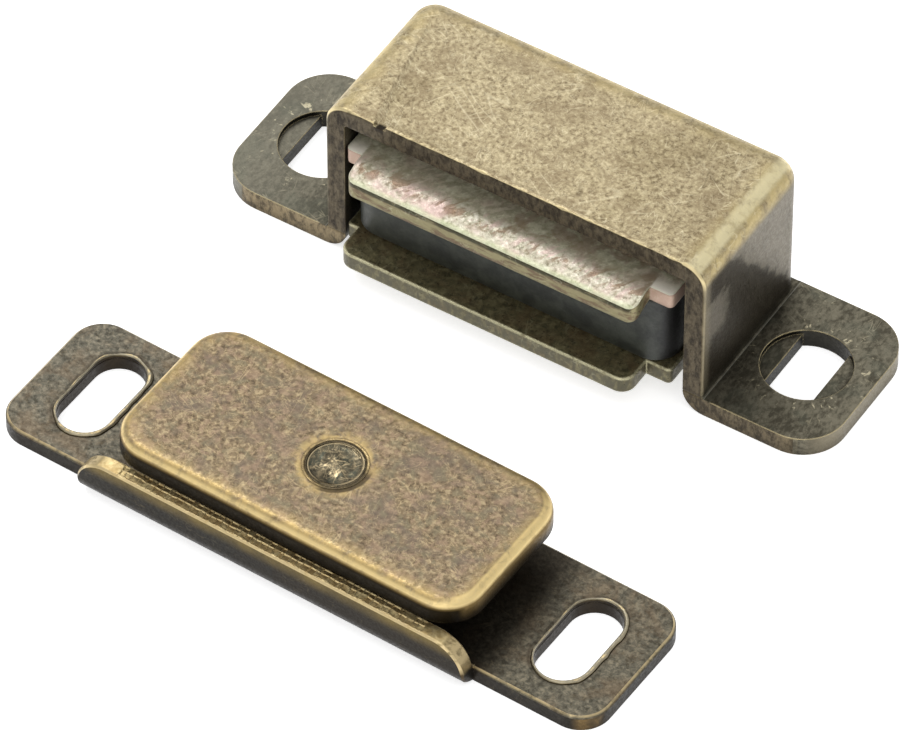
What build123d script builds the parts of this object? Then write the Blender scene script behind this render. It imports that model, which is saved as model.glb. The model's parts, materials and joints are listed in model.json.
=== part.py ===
from build123d import *
from math import cos, radians, tan
import os

os.makedirs("parts", exist_ok=True)

# A magnetic catch: a sheet-steel case holding a magnet between two pole plates, and a keeper with a
# strike plate that swivels on a rivet. Millimetres, +Z up, +X along the case, -Y out of its mouth.
# The origin is the middle of the case's footprint, on the face that it is screwed down by.

# ---- case ----
case_length = 31.0  # over the side walls
case_depth = 13.3  # mouth to rear wall
case_height = 14.3
case_sheet = 1.6
case_bend = 0.25  # inner radius of the drawn corners
mouth_break = 0.3  # worn outer arris of the mouth
ear_end = 5.0  # from a hole's middle to the end of its ear
ear_corner = 3.4
ear_crease = 0.1  # inner radius where an ear turns out
ear_break = 0.2  # worn upper edge of an ear
screw_spacing = 40.0  # between the two holes of either half
ear_hole = 6.6  # diameter
ear_slot_width = 3.8
ear_coin_depth = 0.4  # the flats beside the slot lie this far below the ear
tab_width = 9.0  # bent under the pack from the rear wall
tab_relief = 0.8  # width of the notch beside it
tab_relief_height = 2.8
tab_front = -3.1  # front face of its turned-up end
tab_hook_height = 2.6

# ---- magnet and pole plates ----
plate_left_gap = 0.1  # from the plates to the left wall, where the pack lies
plate_right_gap = 1.0
plate_rear_gap = 0.5  # behind the plates, to the rear wall
lower_thickness = 1.3
lower_lugs = 2.8  # both stops beside the tongue together
lower_tongue_offset = -0.55  # from the middle of the plate
lower_reach = 2.55  # how far the tongue stands out of the mouth
lower_tongue_corner = 1.1
upper_thickness = 1.25
upper_lugs = 3.1
upper_tongue_offset = -0.25
upper_reach = 2.16
upper_bend_angle = 21.0  # the tongue slopes down towards its end
upper_bend = 1.8  # inner radius of that bend
upper_tongue_corner = 0.7
lug_corner = 0.4
plate_break = 0.12
window_gap = 0.3  # round the case's tab in the lower plate
magnet_left_gap = 0.45  # from its ends to the side walls
magnet_right_gap = 1.35
magnet_width = 10.0
magnet_height = 6.35
magnet_proud = 0.1  # in front of the mouth
magnet_corner = 2.0
magnet_break = 0.25

# ---- keeper ----
keeper_x = -0.4  # axis of the rivet
keeper_y = -28.9
keeper_turn = -2.2  # degrees from the case's direction
keeper_end = 5.0  # from a slot's middle to the end of the base
keeper_width = 12.15
keeper_sheet = 1.3
keeper_corner = 2.4
keeper_break = 0.2  # worn upper edges
holes_shift_x = 0.2  # middle of the slots, from the rivet
holes_shift_y = -0.15
keeper_slot_width = 4.0
keeper_slot_length = 7.9
lip_length = 32.3
lip_shift = -0.65  # middle of the lip, from the middle of the slots
lip_height = 3.9
lip_bend = 0.45  # inner radius
lip_end_radius = 2.6
lip_overhang = 1.37  # outer face of the lip, in front of the base's cut edge
lip_break = 0.15

# ---- strike and rivet ----
strike_length = 29.6
strike_width = 13.6
strike_thickness = 2.1
strike_corner = 3.0
strike_edge = 0.9  # rounded upper edge
strike_lower_break = 0.2
strike_top = 6.4  # above the mounting face
tenon_diameter = 3.0
collar_diameter = 7.5
head_diameter = 4.1
head_thickness = 0.9
head_shift = -0.12  # the head spread more to one side
head_break = 0.15
head_recess = 4.6  # diameter of the recess in the strike
foot_diameter = 4.4  # the rivet's lower end, spread in the base's countersink
foot_height = 0.7
running_gap = 0.05  # between the strike and the rivet

# ---- shared values ----
half_length = case_length / 2
ear_reach = screw_spacing / 2 + ear_end
front = -case_depth / 2
rear = case_depth / 2
inner_half = half_length - case_sheet
inner_rear = rear - case_sheet
ear_bend = case_sheet + ear_crease
outer_bend = case_sheet + case_bend
plate_length = 2 * inner_half - plate_left_gap - plate_right_gap
pack_offset = (plate_left_gap - plate_right_gap) / 2
lower_tongue_length = plate_length - lower_lugs
upper_tongue_length = plate_length - upper_lugs
magnet_length = 2 * inner_half - magnet_left_gap - magnet_right_gap
magnet_x = (magnet_left_gap - magnet_right_gap) / 2

# ---- case ----
with BuildPart() as pocket:
    with BuildSketch(Plane.XY):
        with Locations((0, front)):
            Rectangle(2 * inner_half, inner_rear - front, align=(Align.CENTER, Align.MIN))
    extrude(amount=case_height - case_sheet)
    pocket_rear = pocket.edges().filter_by(Axis.Z).group_by(Axis.Y)[-1]
    pocket_top = pocket.edges().group_by(Axis.Z)[-1].sort_by(Axis.Y)[1:]
    fillet(pocket_rear + pocket_top, radius=case_bend)

with BuildPart() as tab:
    with BuildSketch(Plane.YZ):
        with BuildLine():
            Polyline(
                (rear, tab_relief_height),
                (rear, 0),
                (tab_front, 0),
                (tab_front, tab_hook_height),
                (tab_front + case_sheet, tab_hook_height),
                (tab_front + case_sheet, case_sheet),
                (inner_rear, case_sheet),
                (inner_rear, tab_relief_height),
                close=True,
            )
        make_face()
        fillet(vertices().group_by(Axis.Y)[0], radius=outer_bend)
        fillet(vertices().filter_by(lambda v: abs(v.Y - case_sheet) < case_bend / 2), radius=case_bend)
    extrude(amount=tab_width / 2, both=True)

with BuildPart() as ears:
    with BuildSketch(Plane.XZ):
        with BuildLine():
            under = JernArc((inner_half, ear_bend), (0, -1), radius=ear_bend, arc_size=90)
            Polyline(
                under @ 1,
                (ear_reach, 0),
                (ear_reach, case_sheet),
                (half_length + ear_crease, case_sheet),
            )
            crease = JernArc((half_length + ear_crease, case_sheet), (-1, 0), radius=ear_crease, arc_size=-90)
            Line(crease @ 1, under @ 0)
        make_face()
    extrude(amount=case_depth / 2, both=True)
    fillet(ears.edges().filter_by(Axis.Z).group_by(Axis.X)[-1], radius=ear_corner)
    ear_rim = ears.faces().filter_by(Plane.XY).sort_by(Axis.Z)[-1].edges().sort_by(Axis.X)[1:]
    fillet(ear_rim, radius=ear_break)
    mirror(about=Plane.YZ)

with BuildPart() as case:
    with BuildSketch(Plane.XY.offset(ear_bend)):
        Rectangle(case_length, case_depth)
    extrude(amount=case_height - ear_bend)
    case_rear = case.edges().filter_by(Axis.Z).group_by(Axis.Y)[-1]
    case_top = case.edges().group_by(Axis.Z)[-1].sort_by(Axis.Y)[1:]
    fillet(case_rear + case_top, radius=outer_bend)
    mouth_edges = case.faces().sort_by(Axis.Y)[0].edges().sort_by(Axis.Z)[1:]
    fillet(mouth_edges, radius=mouth_break)
    add(pocket.part, mode=Mode.SUBTRACT)
    with BuildSketch(Plane.XY):
        with Locations((0, inner_rear)):
            Rectangle(tab_width + 2 * tab_relief, 2 * case_sheet)
    extrude(amount=tab_relief_height, mode=Mode.SUBTRACT)
    add(tab.part)
    add(ears.part)
    with BuildSketch(Plane.XY.offset(case_sheet)):
        with Locations((-screw_spacing / 2, 0), (screw_spacing / 2, 0)):
            Circle(ear_hole / 2)
    extrude(amount=-ear_coin_depth, mode=Mode.SUBTRACT)
    with BuildSketch(Plane.XY):
        with Locations((-screw_spacing / 2, 0), (screw_spacing / 2, 0)):
            Circle(ear_hole / 2)
        with Locations((-screw_spacing / 2, 0), (screw_spacing / 2, 0)):
            Rectangle(ear_slot_width, ear_hole, mode=Mode.INTERSECT)
    extrude(amount=case_sheet, mode=Mode.SUBTRACT)
case.part.label = "case"
export_step(case.part, "parts/case.step")

# ---- lower pole plate ----
lower_z = case_sheet  # it lies on the tab
plate_rear = inner_rear - plate_rear_gap
plate_span = plate_rear - front
lower_tongue_x = pack_offset + lower_tongue_offset
with BuildPart() as lower_plate:
    with BuildSketch(Plane.XY.offset(lower_z)):
        with Locations((pack_offset, front)):
            Rectangle(plate_length, plate_span, align=(Align.CENTER, Align.MIN))
        fillet(vertices(), radius=lug_corner)
    extrude(amount=lower_thickness)
    with BuildSketch(Plane.XY.offset(lower_z)):
        with Locations((lower_tongue_x, front - lower_reach)):
            Rectangle(lower_tongue_length, lower_reach + plate_span / 2, align=(Align.CENTER, Align.MIN))
        fillet(vertices().group_by(Axis.Y)[0], radius=lower_tongue_corner)
    extrude(amount=lower_thickness)
    chamfer(lower_plate.faces().sort_by(Axis.Z)[-1].edges(), length=plate_break)
    with BuildSketch(Plane.XY.offset(lower_z)):
        with Locations((0, tab_front - window_gap)):
            Rectangle(
                tab_width + 2 * window_gap,
                case_sheet + case_bend + 2 * window_gap,
                align=(Align.CENTER, Align.MIN),
            )
    extrude(amount=lower_thickness, mode=Mode.SUBTRACT)
lower_plate.part.label = "lower_pole_plate"
export_step(lower_plate.part, "parts/lower_pole_plate.step")

# ---- magnet ----
magnet_z = lower_z + lower_thickness
with BuildPart() as magnet:
    with BuildSketch(Plane.XY.offset(magnet_z)):
        with Locations((magnet_x, front - magnet_proud + magnet_width / 2)):
            RectangleRounded(magnet_length, magnet_width, magnet_corner)
    extrude(amount=magnet_height)
    magnet_rims = magnet.faces().sort_by(Axis.Z)[0].edges() + magnet.faces().sort_by(Axis.Z)[-1].edges()
    chamfer(magnet_rims, length=magnet_break)
magnet.part.label = "magnet"
export_step(magnet.part, "parts/magnet.step")

# ---- upper pole plate ----
upper_z = magnet_z + magnet_height
upper_top = upper_z + upper_thickness
slope = radians(upper_bend_angle)
corner_y = front - (upper_bend + upper_thickness) * tan(slope / 2)
tip_y = front - upper_reach
tip_z = upper_top - (corner_y - tip_y) * tan(slope)
lower_corner_y = corner_y + upper_thickness * tan(slope / 2)
with BuildPart() as upper_plate:
    with BuildSketch(Plane.YZ.offset(pack_offset + upper_tongue_offset)):
        with BuildLine():
            Polyline(
                (front + plate_span / 2, upper_top),
                (corner_y, upper_top),
                (tip_y, tip_z),
                (tip_y, tip_z - upper_thickness / cos(slope)),
                (lower_corner_y, upper_z),
                (front + plate_span / 2, upper_z),
                close=True,
            )
        make_face()
        fillet(vertices().sort_by_distance((corner_y, upper_top))[0], radius=upper_bend + upper_thickness)
        fillet(vertices().sort_by_distance((lower_corner_y, upper_z))[0], radius=upper_bend)
    extrude(amount=upper_tongue_length / 2, both=True)
    tip_face = upper_plate.faces().sort_by(Axis.Y)[0]
    fillet(tip_face.edges().sort_by(SortBy.LENGTH)[:2], radius=upper_tongue_corner)
    with BuildSketch(Plane.XY.offset(upper_z)):
        with Locations((pack_offset, front)):
            Rectangle(plate_length, plate_span, align=(Align.CENTER, Align.MIN))
        fillet(vertices(), radius=lug_corner)
    extrude(amount=upper_thickness)
upper_plate.part.label = "upper_pole_plate"
export_step(upper_plate.part, "parts/upper_pole_plate.step")

# ---- keeper base ----
keeper = Plane(origin=(keeper_x, keeper_y, 0), z_dir=(0, 0, 1)).rotated((0, 0, keeper_turn))
lip_outer_y = holes_shift_y - keeper_width / 2 - lip_overhang
lip_x = holes_shift_x + lip_shift
lip_inner_y = lip_outer_y + keeper_sheet
lip_root_y = lip_inner_y + lip_bend
across = Plane(origin=keeper.from_local_coords((lip_x, 0, 0)), x_dir=keeper.y_dir, z_dir=keeper.x_dir)
along = Plane(
    origin=keeper.from_local_coords((lip_x, lip_outer_y, 0)),
    x_dir=keeper.x_dir,
    z_dir=-keeper.y_dir,
)
with BuildPart() as lip:
    with BuildSketch(across):
        with BuildLine():
            Polyline(
                (holes_shift_y, 0),
                (lip_outer_y, 0),
                (lip_outer_y, lip_height),
                (lip_inner_y, lip_height),
                (lip_inner_y, keeper_sheet),
                (holes_shift_y, keeper_sheet),
                close=True,
            )
        make_face()
        fillet(vertices().group_by(Axis.Y)[0].sort_by(Axis.X)[0], radius=keeper_sheet + lip_bend)
        fillet(vertices().group_by(Axis.Y)[1].sort_by(Axis.X)[0], radius=lip_bend)
    extrude(amount=lip_length / 2, both=True)
    with BuildSketch(along):
        with Locations((0, 0)):
            Rectangle(lip_length, lip_height, align=(Align.CENTER, Align.MIN))
        fillet(vertices().group_by(Axis.Y)[-1], radius=lip_end_radius)
    extrude(amount=-keeper_width, mode=Mode.INTERSECT)
    chamfer(lip.faces().filter_by(Plane.XY).sort_by(Axis.Z)[-1].edges(), length=lip_break)

with BuildPart() as base:
    with BuildSketch(keeper):
        with Locations((holes_shift_x, holes_shift_y)):
            RectangleRounded(screw_spacing + 2 * keeper_end, keeper_width, keeper_corner)
        slot_x = screw_spacing / 2
        with Locations((holes_shift_x - slot_x, holes_shift_y), (holes_shift_x + slot_x, holes_shift_y)):
            SlotOverall(keeper_slot_length, keeper_slot_width, rotation=90, mode=Mode.SUBTRACT)
    extrude(amount=keeper_sheet)
    chamfer(base.faces().sort_by(Axis.Z)[-1].edges(), length=keeper_break)
    add(lip.part)
    with BuildSketch(keeper):
        Circle(tenon_diameter / 2)
    extrude(amount=keeper_sheet, mode=Mode.SUBTRACT)
    with BuildSketch(keeper):
        Circle(foot_diameter / 2)
    with BuildSketch(keeper.offset(foot_height)):
        Circle(tenon_diameter / 2)
    loft(mode=Mode.SUBTRACT)
base.part.label = "keeper_base"
export_step(base.part, "parts/keeper_base.step")

# ---- strike plate ----
strike_under = strike_top - strike_thickness
with BuildPart() as strike:
    with BuildSketch(keeper.offset(strike_under)):
        RectangleRounded(strike_length, strike_width, strike_corner)
    extrude(amount=strike_thickness)
    fillet(strike.faces().sort_by(Axis.Z)[-1].edges(), radius=strike_edge)
    chamfer(strike.faces().sort_by(Axis.Z)[0].edges(), length=strike_lower_break)
    with BuildSketch(keeper.offset(strike_under)):
        Circle(tenon_diameter / 2 + running_gap)
    extrude(amount=strike_thickness, mode=Mode.SUBTRACT)
    with BuildSketch(keeper.offset(strike_top)):
        Circle(head_recess / 2)
    extrude(amount=-head_thickness - running_gap, mode=Mode.SUBTRACT)
strike.part.label = "strike_plate"
export_step(strike.part, "parts/strike_plate.step")

# ---- strike rivet ----
head_under = strike_top - head_thickness
with BuildPart() as rivet:
    with BuildSketch(Plane(origin=(keeper_x, keeper_y, 0), x_dir=(1, 0, 0), z_dir=(0, -1, 0))):
        with BuildLine():
            Polyline(
                (0, 0),
                (foot_diameter / 2, 0),
                (tenon_diameter / 2, foot_height),
                (tenon_diameter / 2, keeper_sheet),
                (collar_diameter / 2, keeper_sheet),
                (collar_diameter / 2, strike_under - running_gap),
                (tenon_diameter / 2, strike_under - running_gap),
                (tenon_diameter / 2, head_under),
                (0, head_under),
                close=True,
            )
        make_face()
    revolve(axis=Axis((keeper_x, keeper_y, 0), (0, 0, 1)))
    with BuildSketch(keeper.offset(head_under)):
        with Locations((head_shift, 0)):
            Circle(head_diameter / 2)
    extrude(amount=head_thickness)
    chamfer(rivet.faces().sort_by(Axis.Z)[-1].edges(), length=head_break)
rivet.part.label = "strike_rivet"
export_step(rivet.part, "parts/strike_rivet.step")
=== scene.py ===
"""Finishes, studio and camera for a magnetic catch of worn, plated sheet steel."""

import json
import logging
from dataclasses import dataclass
from enum import Enum
from math import atan2, cos, radians, sin
from typing import Callable, Optional, Sequence, Union

import bmesh
import bpy
from mathutils import Matrix, Vector, noise


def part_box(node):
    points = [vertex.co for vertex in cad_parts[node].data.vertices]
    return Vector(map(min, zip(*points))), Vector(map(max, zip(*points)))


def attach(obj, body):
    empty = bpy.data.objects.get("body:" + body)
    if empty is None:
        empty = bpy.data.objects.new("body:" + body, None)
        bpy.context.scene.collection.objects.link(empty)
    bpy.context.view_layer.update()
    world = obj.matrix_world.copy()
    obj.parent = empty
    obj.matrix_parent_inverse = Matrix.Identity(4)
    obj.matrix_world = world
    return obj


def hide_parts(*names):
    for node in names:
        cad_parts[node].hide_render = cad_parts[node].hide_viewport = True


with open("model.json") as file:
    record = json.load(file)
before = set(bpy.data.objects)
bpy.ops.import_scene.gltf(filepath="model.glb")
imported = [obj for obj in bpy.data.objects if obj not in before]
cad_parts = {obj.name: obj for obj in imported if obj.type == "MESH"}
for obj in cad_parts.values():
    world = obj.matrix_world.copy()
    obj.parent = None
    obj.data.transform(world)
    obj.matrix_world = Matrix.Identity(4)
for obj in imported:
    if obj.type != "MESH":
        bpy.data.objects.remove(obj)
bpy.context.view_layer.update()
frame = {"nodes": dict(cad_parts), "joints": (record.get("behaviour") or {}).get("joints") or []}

log = logging.getLogger("magnetic_catch")

# A millimetre, and a length too short to matter, in metres.
MM = 0.001
HAIR = 1e-6
# Where the random draws start.
SEED = 7
Triple = tuple[float, float, float]
Color = Triple
Span = tuple[float, ...]
Feed = Union[float, Sequence[float], bpy.types.NodeSocket]


def display(red: int, green: int, blue: int) -> Color:
    """Turns a colour as a screen shows it into the linear one that a shader takes.

    Args:
        red: Red, from 0 to 255.
        green: Green, from 0 to 255.
        blue: Blue, from 0 to 255.

    Returns:
        The linear red, green and blue.
    """
    knee = 0.04045
    shares = [channel / 255 for channel in (red, green, blue)]
    return tuple(s / 12.92 if s <= knee else ((s + 0.055) / 1.055) ** 2.4 for s in shares)


class Op(Enum):
    """Arithmetic that a finish's graph uses."""

    ADD = "ADD"
    SUBTRACT = "SUBTRACT"
    MULTIPLY = "MULTIPLY"
    LESS = "LESS_THAN"
    MORE = "GREATER_THAN"
    ABSOLUTE = "ABSOLUTE"
    LARGER = "MAXIMUM"
    SMALLER = "MINIMUM"
    ROOT = "SQRT"
    ANGLE = "ARCTAN2"


@dataclass(frozen=True)
class Clouds:
    """A cloudy noise, and the patches that can be cut out of it.

    Attributes:
        grain: The size of the largest clouds, in millimetres.
        detail: How many finer layers there are.
        rough: How strong they are.
        warp: How much the noise is bent by itself.
        shift: How far it is moved, which makes it another pattern.
        stretch: How much longer the clouds are along each axis.
        low: The noise at which a patch begins.
        high: The noise at which it is full.
        least: The mask beside the patches.
        most: The mask inside them.
    """

    grain: float
    detail: float = 4.0
    rough: float = 0.6
    warp: float = 0.0
    shift: float = 0.0
    stretch: Triple = (1.0, 1.0, 1.0)
    low: float = 0.0
    high: float = 1.0
    least: float = 0.0
    most: float = 1.0


@dataclass(frozen=True)
class Scratches:
    """Fine straight scratches that lie one way.

    Attributes:
        angle: Their direction in the plane, in degrees.
        gap: The usual distance between them, in millimetres.
        length: Their usual length, in millimetres.
        width: How broad they are, as a share of the noise that they are cut from.
        shift: Another pattern for each value.
    """

    angle: float
    gap: float
    length: float
    width: float
    shift: float


def uneven(x: float, y: float, waves: Triple) -> float:
    """Gives smooth noise around 0 at a place.

    Args:
        x: The place along X, in millimetres.
        y: The place along Y.
        waves: How many waves a millimetre holds along X and along Y, and the noise's layer.

    Returns:
        The noise.
    """
    return noise.noise(Vector((x * waves[0], y * waves[1], waves[2])))


def beyond(base: float, span: Span) -> Span:
    """Moves both ends of a range by a base and leaves its results as they are."""
    return (base + span[0], base + span[1], *span[2:])


class Remade:
    """A solid of the frame taken into mesh code, so that wear and stamping can be cut into it."""

    weld: float = 2e-7
    flat_angle: float = 0.6
    smooth_angle: float = 32.0
    arris_angle: float = 40.0
    arris_segments: int = 2

    def __init__(self, node: str) -> None:
        """Copies the solid and joins its facets into whole faces.

        Args:
            node: The solid's node.
        """
        self.node = node
        self.mesh = bmesh.new()
        self.mesh.from_mesh(frame["nodes"][node].data)
        bmesh.ops.remove_doubles(self.mesh, verts=self.mesh.verts, dist=self.weld)
        bmesh.ops.dissolve_limit(
            self.mesh, angle_limit=radians(self.flat_angle), verts=self.mesh.verts, edges=self.mesh.edges
        )

    def faces(self, test: Callable[[bmesh.types.BMFace], bool]) -> list[bmesh.types.BMFace]:
        """Finds the faces that pass a test."""
        return [face for face in self.mesh.faces if test(face)]

    def slice(self, test: Callable[[bmesh.types.BMFace], bool], point: Vector, normal: Vector) -> None:
        """Divides some faces along a plane.

        Args:
            test: Says which faces are divided.
            point: A point of the plane, in metres.
            normal: The plane's normal.
        """
        faces = self.faces(test)
        parts = set(faces)
        for face in faces:
            parts.update(face.edges)
            parts.update(face.verts)
        bmesh.ops.bisect_plane(
            self.mesh, geom=list(parts), dist=self.weld, plane_co=point, plane_no=normal
        )

    def place(self, name: str, body: str, slot: str, arris: float) -> bpy.types.Object:
        """Puts the piece in the scene instead of the solid.

        Args:
            name: The piece's name.
            body: The body that carries it.
            slot: The material slot of the record that it is finished as; not used.
            arris: How far its sharp edges are worn round, in millimetres.

        Returns:
            The piece.
        """
        shape = bpy.data.meshes.new(name)
        self.mesh.to_mesh(shape)
        self.mesh.free()
        if "custom_normal" in shape.attributes:
            shape.attributes.remove(shape.attributes["custom_normal"])
        shape.shade_smooth()
        shape.set_sharp_from_angle(angle=radians(self.smooth_angle))
        shape.materials.clear()
        piece = bpy.data.objects.new(name, shape)
        bpy.context.scene.collection.objects.link(piece)
        worn = piece.modifiers.new("worn_arrises", "BEVEL")
        worn.width = arris * MM
        worn.segments = self.arris_segments
        worn.limit_method = "ANGLE"
        worn.angle_limit = radians(self.arris_angle)
        even = piece.modifiers.new("even_shading", "WEIGHTED_NORMAL")
        even.keep_sharp = True
        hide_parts(self.node)
        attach(piece, body)
        log.info("%s stands for %s, with %d faces", name, self.node, len(shape.polygons))
        return piece


class Graph:
    """A material whose nodes are laid down one call at a time, with lengths in millimetres."""

    shift_shares: Triple = (1.0, 0.7, 1.3)
    scratch_cluster: float = 0.6
    scratch_shift: float = 9.0
    fibre_core: float = 0.2
    fibre_shift: float = 5.0
    sector: Span = (0.45, 0.8)
    edge_turn: Span = (0.995, 0.86)
    open_air: Span = (0.92, 0.35)
    upright_facing: Span = (0.5, 0.2)
    steep_facing: Span = (0.7, 0.3)
    shoulder_upper: Span = (0.985, 0.9)
    shoulder_lower: Span = (0.05, 0.3)

    def __init__(self, name: str, origin: Optional[Vector] = None, turn: float = 0.0) -> None:
        """Starts a material with a shader and coordinates fixed to the piece.

        Args:
            name: The material's name.
            origin: Where the coordinates start, in metres, or None for the frame's origin.
            turn: How far the coordinates are turned about the vertical, in degrees.
        """
        self.material = bpy.data.materials.new(name)
        self.material.use_nodes = True
        self.tree = self.material.node_tree
        self.tree.nodes.clear()
        output = self.add("ShaderNodeOutputMaterial")
        self.shader = self.add("ShaderNodeBsdfPrincipled")
        self.join(self.shader.outputs["BSDF"], output.inputs["Surface"])
        place = self.add("ShaderNodeTexCoord").outputs["Object"]
        if origin is not None:
            place = self.vector("SUBTRACT", place, tuple(origin))
            spin = self.add("ShaderNodeVectorRotate")
            spin.rotation_type = "Z_AXIS"
            spin.inputs["Angle"].default_value = -radians(turn)
            self.feed(spin.inputs["Vector"], place)
            place = spin.outputs["Vector"]
        self.mm = self.vector("MULTIPLY", place, (1 / MM,) * 3)
        split = self.add("ShaderNodeSeparateXYZ")
        self.join(self.mm, split.inputs[0])
        self.x, self.y, self.z = split.outputs
        facing = self.add("ShaderNodeSeparateXYZ")
        geometry = self.add("ShaderNodeNewGeometry")
        self.normal = geometry.outputs["Normal"]
        turned = self.add("ShaderNodeVectorTransform")
        turned.vector_type = "NORMAL"
        turned.convert_from = "WORLD"
        turned.convert_to = "OBJECT"
        self.join(self.normal, turned.inputs[0])
        self.join(turned.outputs[0], facing.inputs[0])
        self.facing_x, self.facing_y, self.facing_z = facing.outputs

    def add(self, kind: str) -> bpy.types.Node:
        """Adds a node of a kind and returns it."""
        return self.tree.nodes.new(kind)

    def join(self, source: bpy.types.NodeSocket, target: bpy.types.NodeSocket) -> None:
        """Links an output to an input."""
        self.tree.links.new(source, target)

    def feed(self, target: bpy.types.NodeSocket, value: Feed) -> None:
        """Gives an input a link or a constant.

        Args:
            target: The input.
            value: An output to link, a number, or a colour or vector.
        """
        if isinstance(value, bpy.types.NodeSocket):
            self.join(value, target)
        elif isinstance(value, (int, float)):
            target.default_value = value
        else:
            size = len(target.default_value)
            target.default_value = tuple(value) + (1.0,) * (size - len(value))

    def math(self, op: Op, first: Feed, second: Feed = 0.0, clamp: bool = False) -> bpy.types.NodeSocket:
        """Combines two numbers.

        Args:
            op: What to do with them.
            first: The first number.
            second: The second number, unused where the operation takes one.
            clamp: Whether the result is kept between 0 and 1.

        Returns:
            The result's output.
        """
        node = self.add("ShaderNodeMath")
        node.operation = op.value
        node.use_clamp = clamp
        self.feed(node.inputs[0], first)
        self.feed(node.inputs[1], second)
        return node.outputs[0]

    def times(self, *values: Feed) -> bpy.types.NodeSocket:
        """Multiplies masks together and returns the product."""
        result = values[0]
        for value in values[1:]:
            result = self.math(Op.MULTIPLY, result, value)
        return result

    def vector(self, op: str, first: Feed, second: Feed) -> bpy.types.NodeSocket:
        """Combines two vectors.

        Args:
            op: The vector operation's name.
            first: The first vector.
            second: The second vector.

        Returns:
            The output: a number for a dot product or a length, and otherwise a vector.
        """
        node = self.add("ShaderNodeVectorMath")
        node.operation = op
        self.feed(node.inputs[0], first)
        self.feed(node.inputs[1], second)
        return node.outputs["Value" if op in ("DOT_PRODUCT", "LENGTH") else "Vector"]

    def span(
        self, value: Feed, low: float, high: float, start: float = 0.0, end: float = 1.0
    ) -> bpy.types.NodeSocket:
        """Turns a range of a number smoothly into another range.

        Args:
            value: The number.
            low: Where the change begins.
            high: Where it ends.
            start: The result at low and before.
            end: The result at high and after.

        Returns:
            The result's output.
        """
        node = self.add("ShaderNodeMapRange")
        node.interpolation_type = "SMOOTHSTEP"
        self.feed(node.inputs["Value"], value)
        node.inputs["From Min"].default_value = low
        node.inputs["From Max"].default_value = high
        node.inputs["To Min"].default_value = start
        node.inputs["To Max"].default_value = end
        return node.outputs["Result"]

    def mix(self, share: Feed, first: Feed, second: Feed, blend: str = "MIX") -> bpy.types.NodeSocket:
        """Mixes two colours.

        Args:
            share: How much of the second shows.
            first: The first colour.
            second: The second colour.
            blend: The way of mixing.

        Returns:
            The mixed colour's output.
        """
        node = self.add("ShaderNodeMix")
        node.data_type = "RGBA"
        node.blend_type = blend
        self.feed(node.inputs[0], share)
        self.feed(node.inputs[6], first)
        self.feed(node.inputs[7], second)
        return node.outputs[2]

    def blend_numbers(self, share: Feed, first: Feed, second: Feed) -> bpy.types.NodeSocket:
        """Mixes two numbers by a share and returns the result."""
        node = self.add("ShaderNodeMix")
        node.data_type = "FLOAT"
        self.feed(node.inputs[0], share)
        self.feed(node.inputs[2], first)
        self.feed(node.inputs[3], second)
        return node.outputs[0]

    def minus(self, first: Feed, second: Feed) -> bpy.types.NodeSocket:
        """Subtracts the second number from the first and returns the rest."""
        return self.math(Op.SUBTRACT, first, second)

    def plus(self, first: Feed, second: Feed) -> bpy.types.NodeSocket:
        """Adds two numbers and returns the sum."""
        return self.math(Op.ADD, first, second)

    def size(self, value: Feed) -> bpy.types.NodeSocket:
        """Takes a number's sign away and returns the rest."""
        return self.math(Op.ABSOLUTE, value)

    def either(self, *masks: Feed) -> bpy.types.NodeSocket:
        """Joins masks and returns the largest of them everywhere."""
        result = masks[0]
        for mask in masks[1:]:
            result = self.math(Op.LARGER, result, mask)
        return result

    def upright(self) -> bpy.types.NodeSocket:
        """Marks the surfaces that stand upright or face down."""
        return self.span(self.facing_z, *self.upright_facing)

    def steep(self) -> bpy.types.NodeSocket:
        """Marks the surfaces that stand upright, lean steeply or face down."""
        return self.span(self.facing_z, *self.steep_facing)

    def clouds(self, pattern: Clouds, place: Optional[bpy.types.NodeSocket] = None) -> bpy.types.NodeSocket:
        """Lays down cloudy noise.

        Args:
            pattern: The noise.
            place: Other coordinates in millimetres, or None for the piece's own.

        Returns:
            The noise, around 0.5.
        """
        node = self.add("ShaderNodeTexNoise")
        where = self.vector("DIVIDE", self.mm if place is None else place, pattern.stretch)
        where = self.vector("ADD", where, tuple(pattern.shift * share for share in self.shift_shares))
        self.join(where, node.inputs["Vector"])
        node.inputs["Scale"].default_value = 1 / pattern.grain
        node.inputs["Detail"].default_value = pattern.detail
        node.inputs["Roughness"].default_value = pattern.rough
        node.inputs["Distortion"].default_value = pattern.warp
        return node.outputs["Fac"]

    def patches(
        self, pattern: Clouds, place: Optional[bpy.types.NodeSocket] = None
    ) -> bpy.types.NodeSocket:
        """Cuts patches out of cloudy noise.

        Args:
            pattern: The noise, and where its patches begin and are full.
            place: Other coordinates in millimetres, or None for the piece's own.

        Returns:
            The patches' mask.
        """
        cloud = self.clouds(pattern, place)
        return self.span(cloud, pattern.low, pattern.high, pattern.least, pattern.most)

    def turned(self, angle: float) -> bpy.types.NodeSocket:
        """Turns the coordinates about the vertical by an angle in degrees and returns them."""
        spin = self.add("ShaderNodeVectorRotate")
        spin.rotation_type = "Z_AXIS"
        spin.inputs["Angle"].default_value = radians(angle)
        self.join(self.mm, spin.inputs["Vector"])
        return spin.outputs["Vector"]

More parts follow.
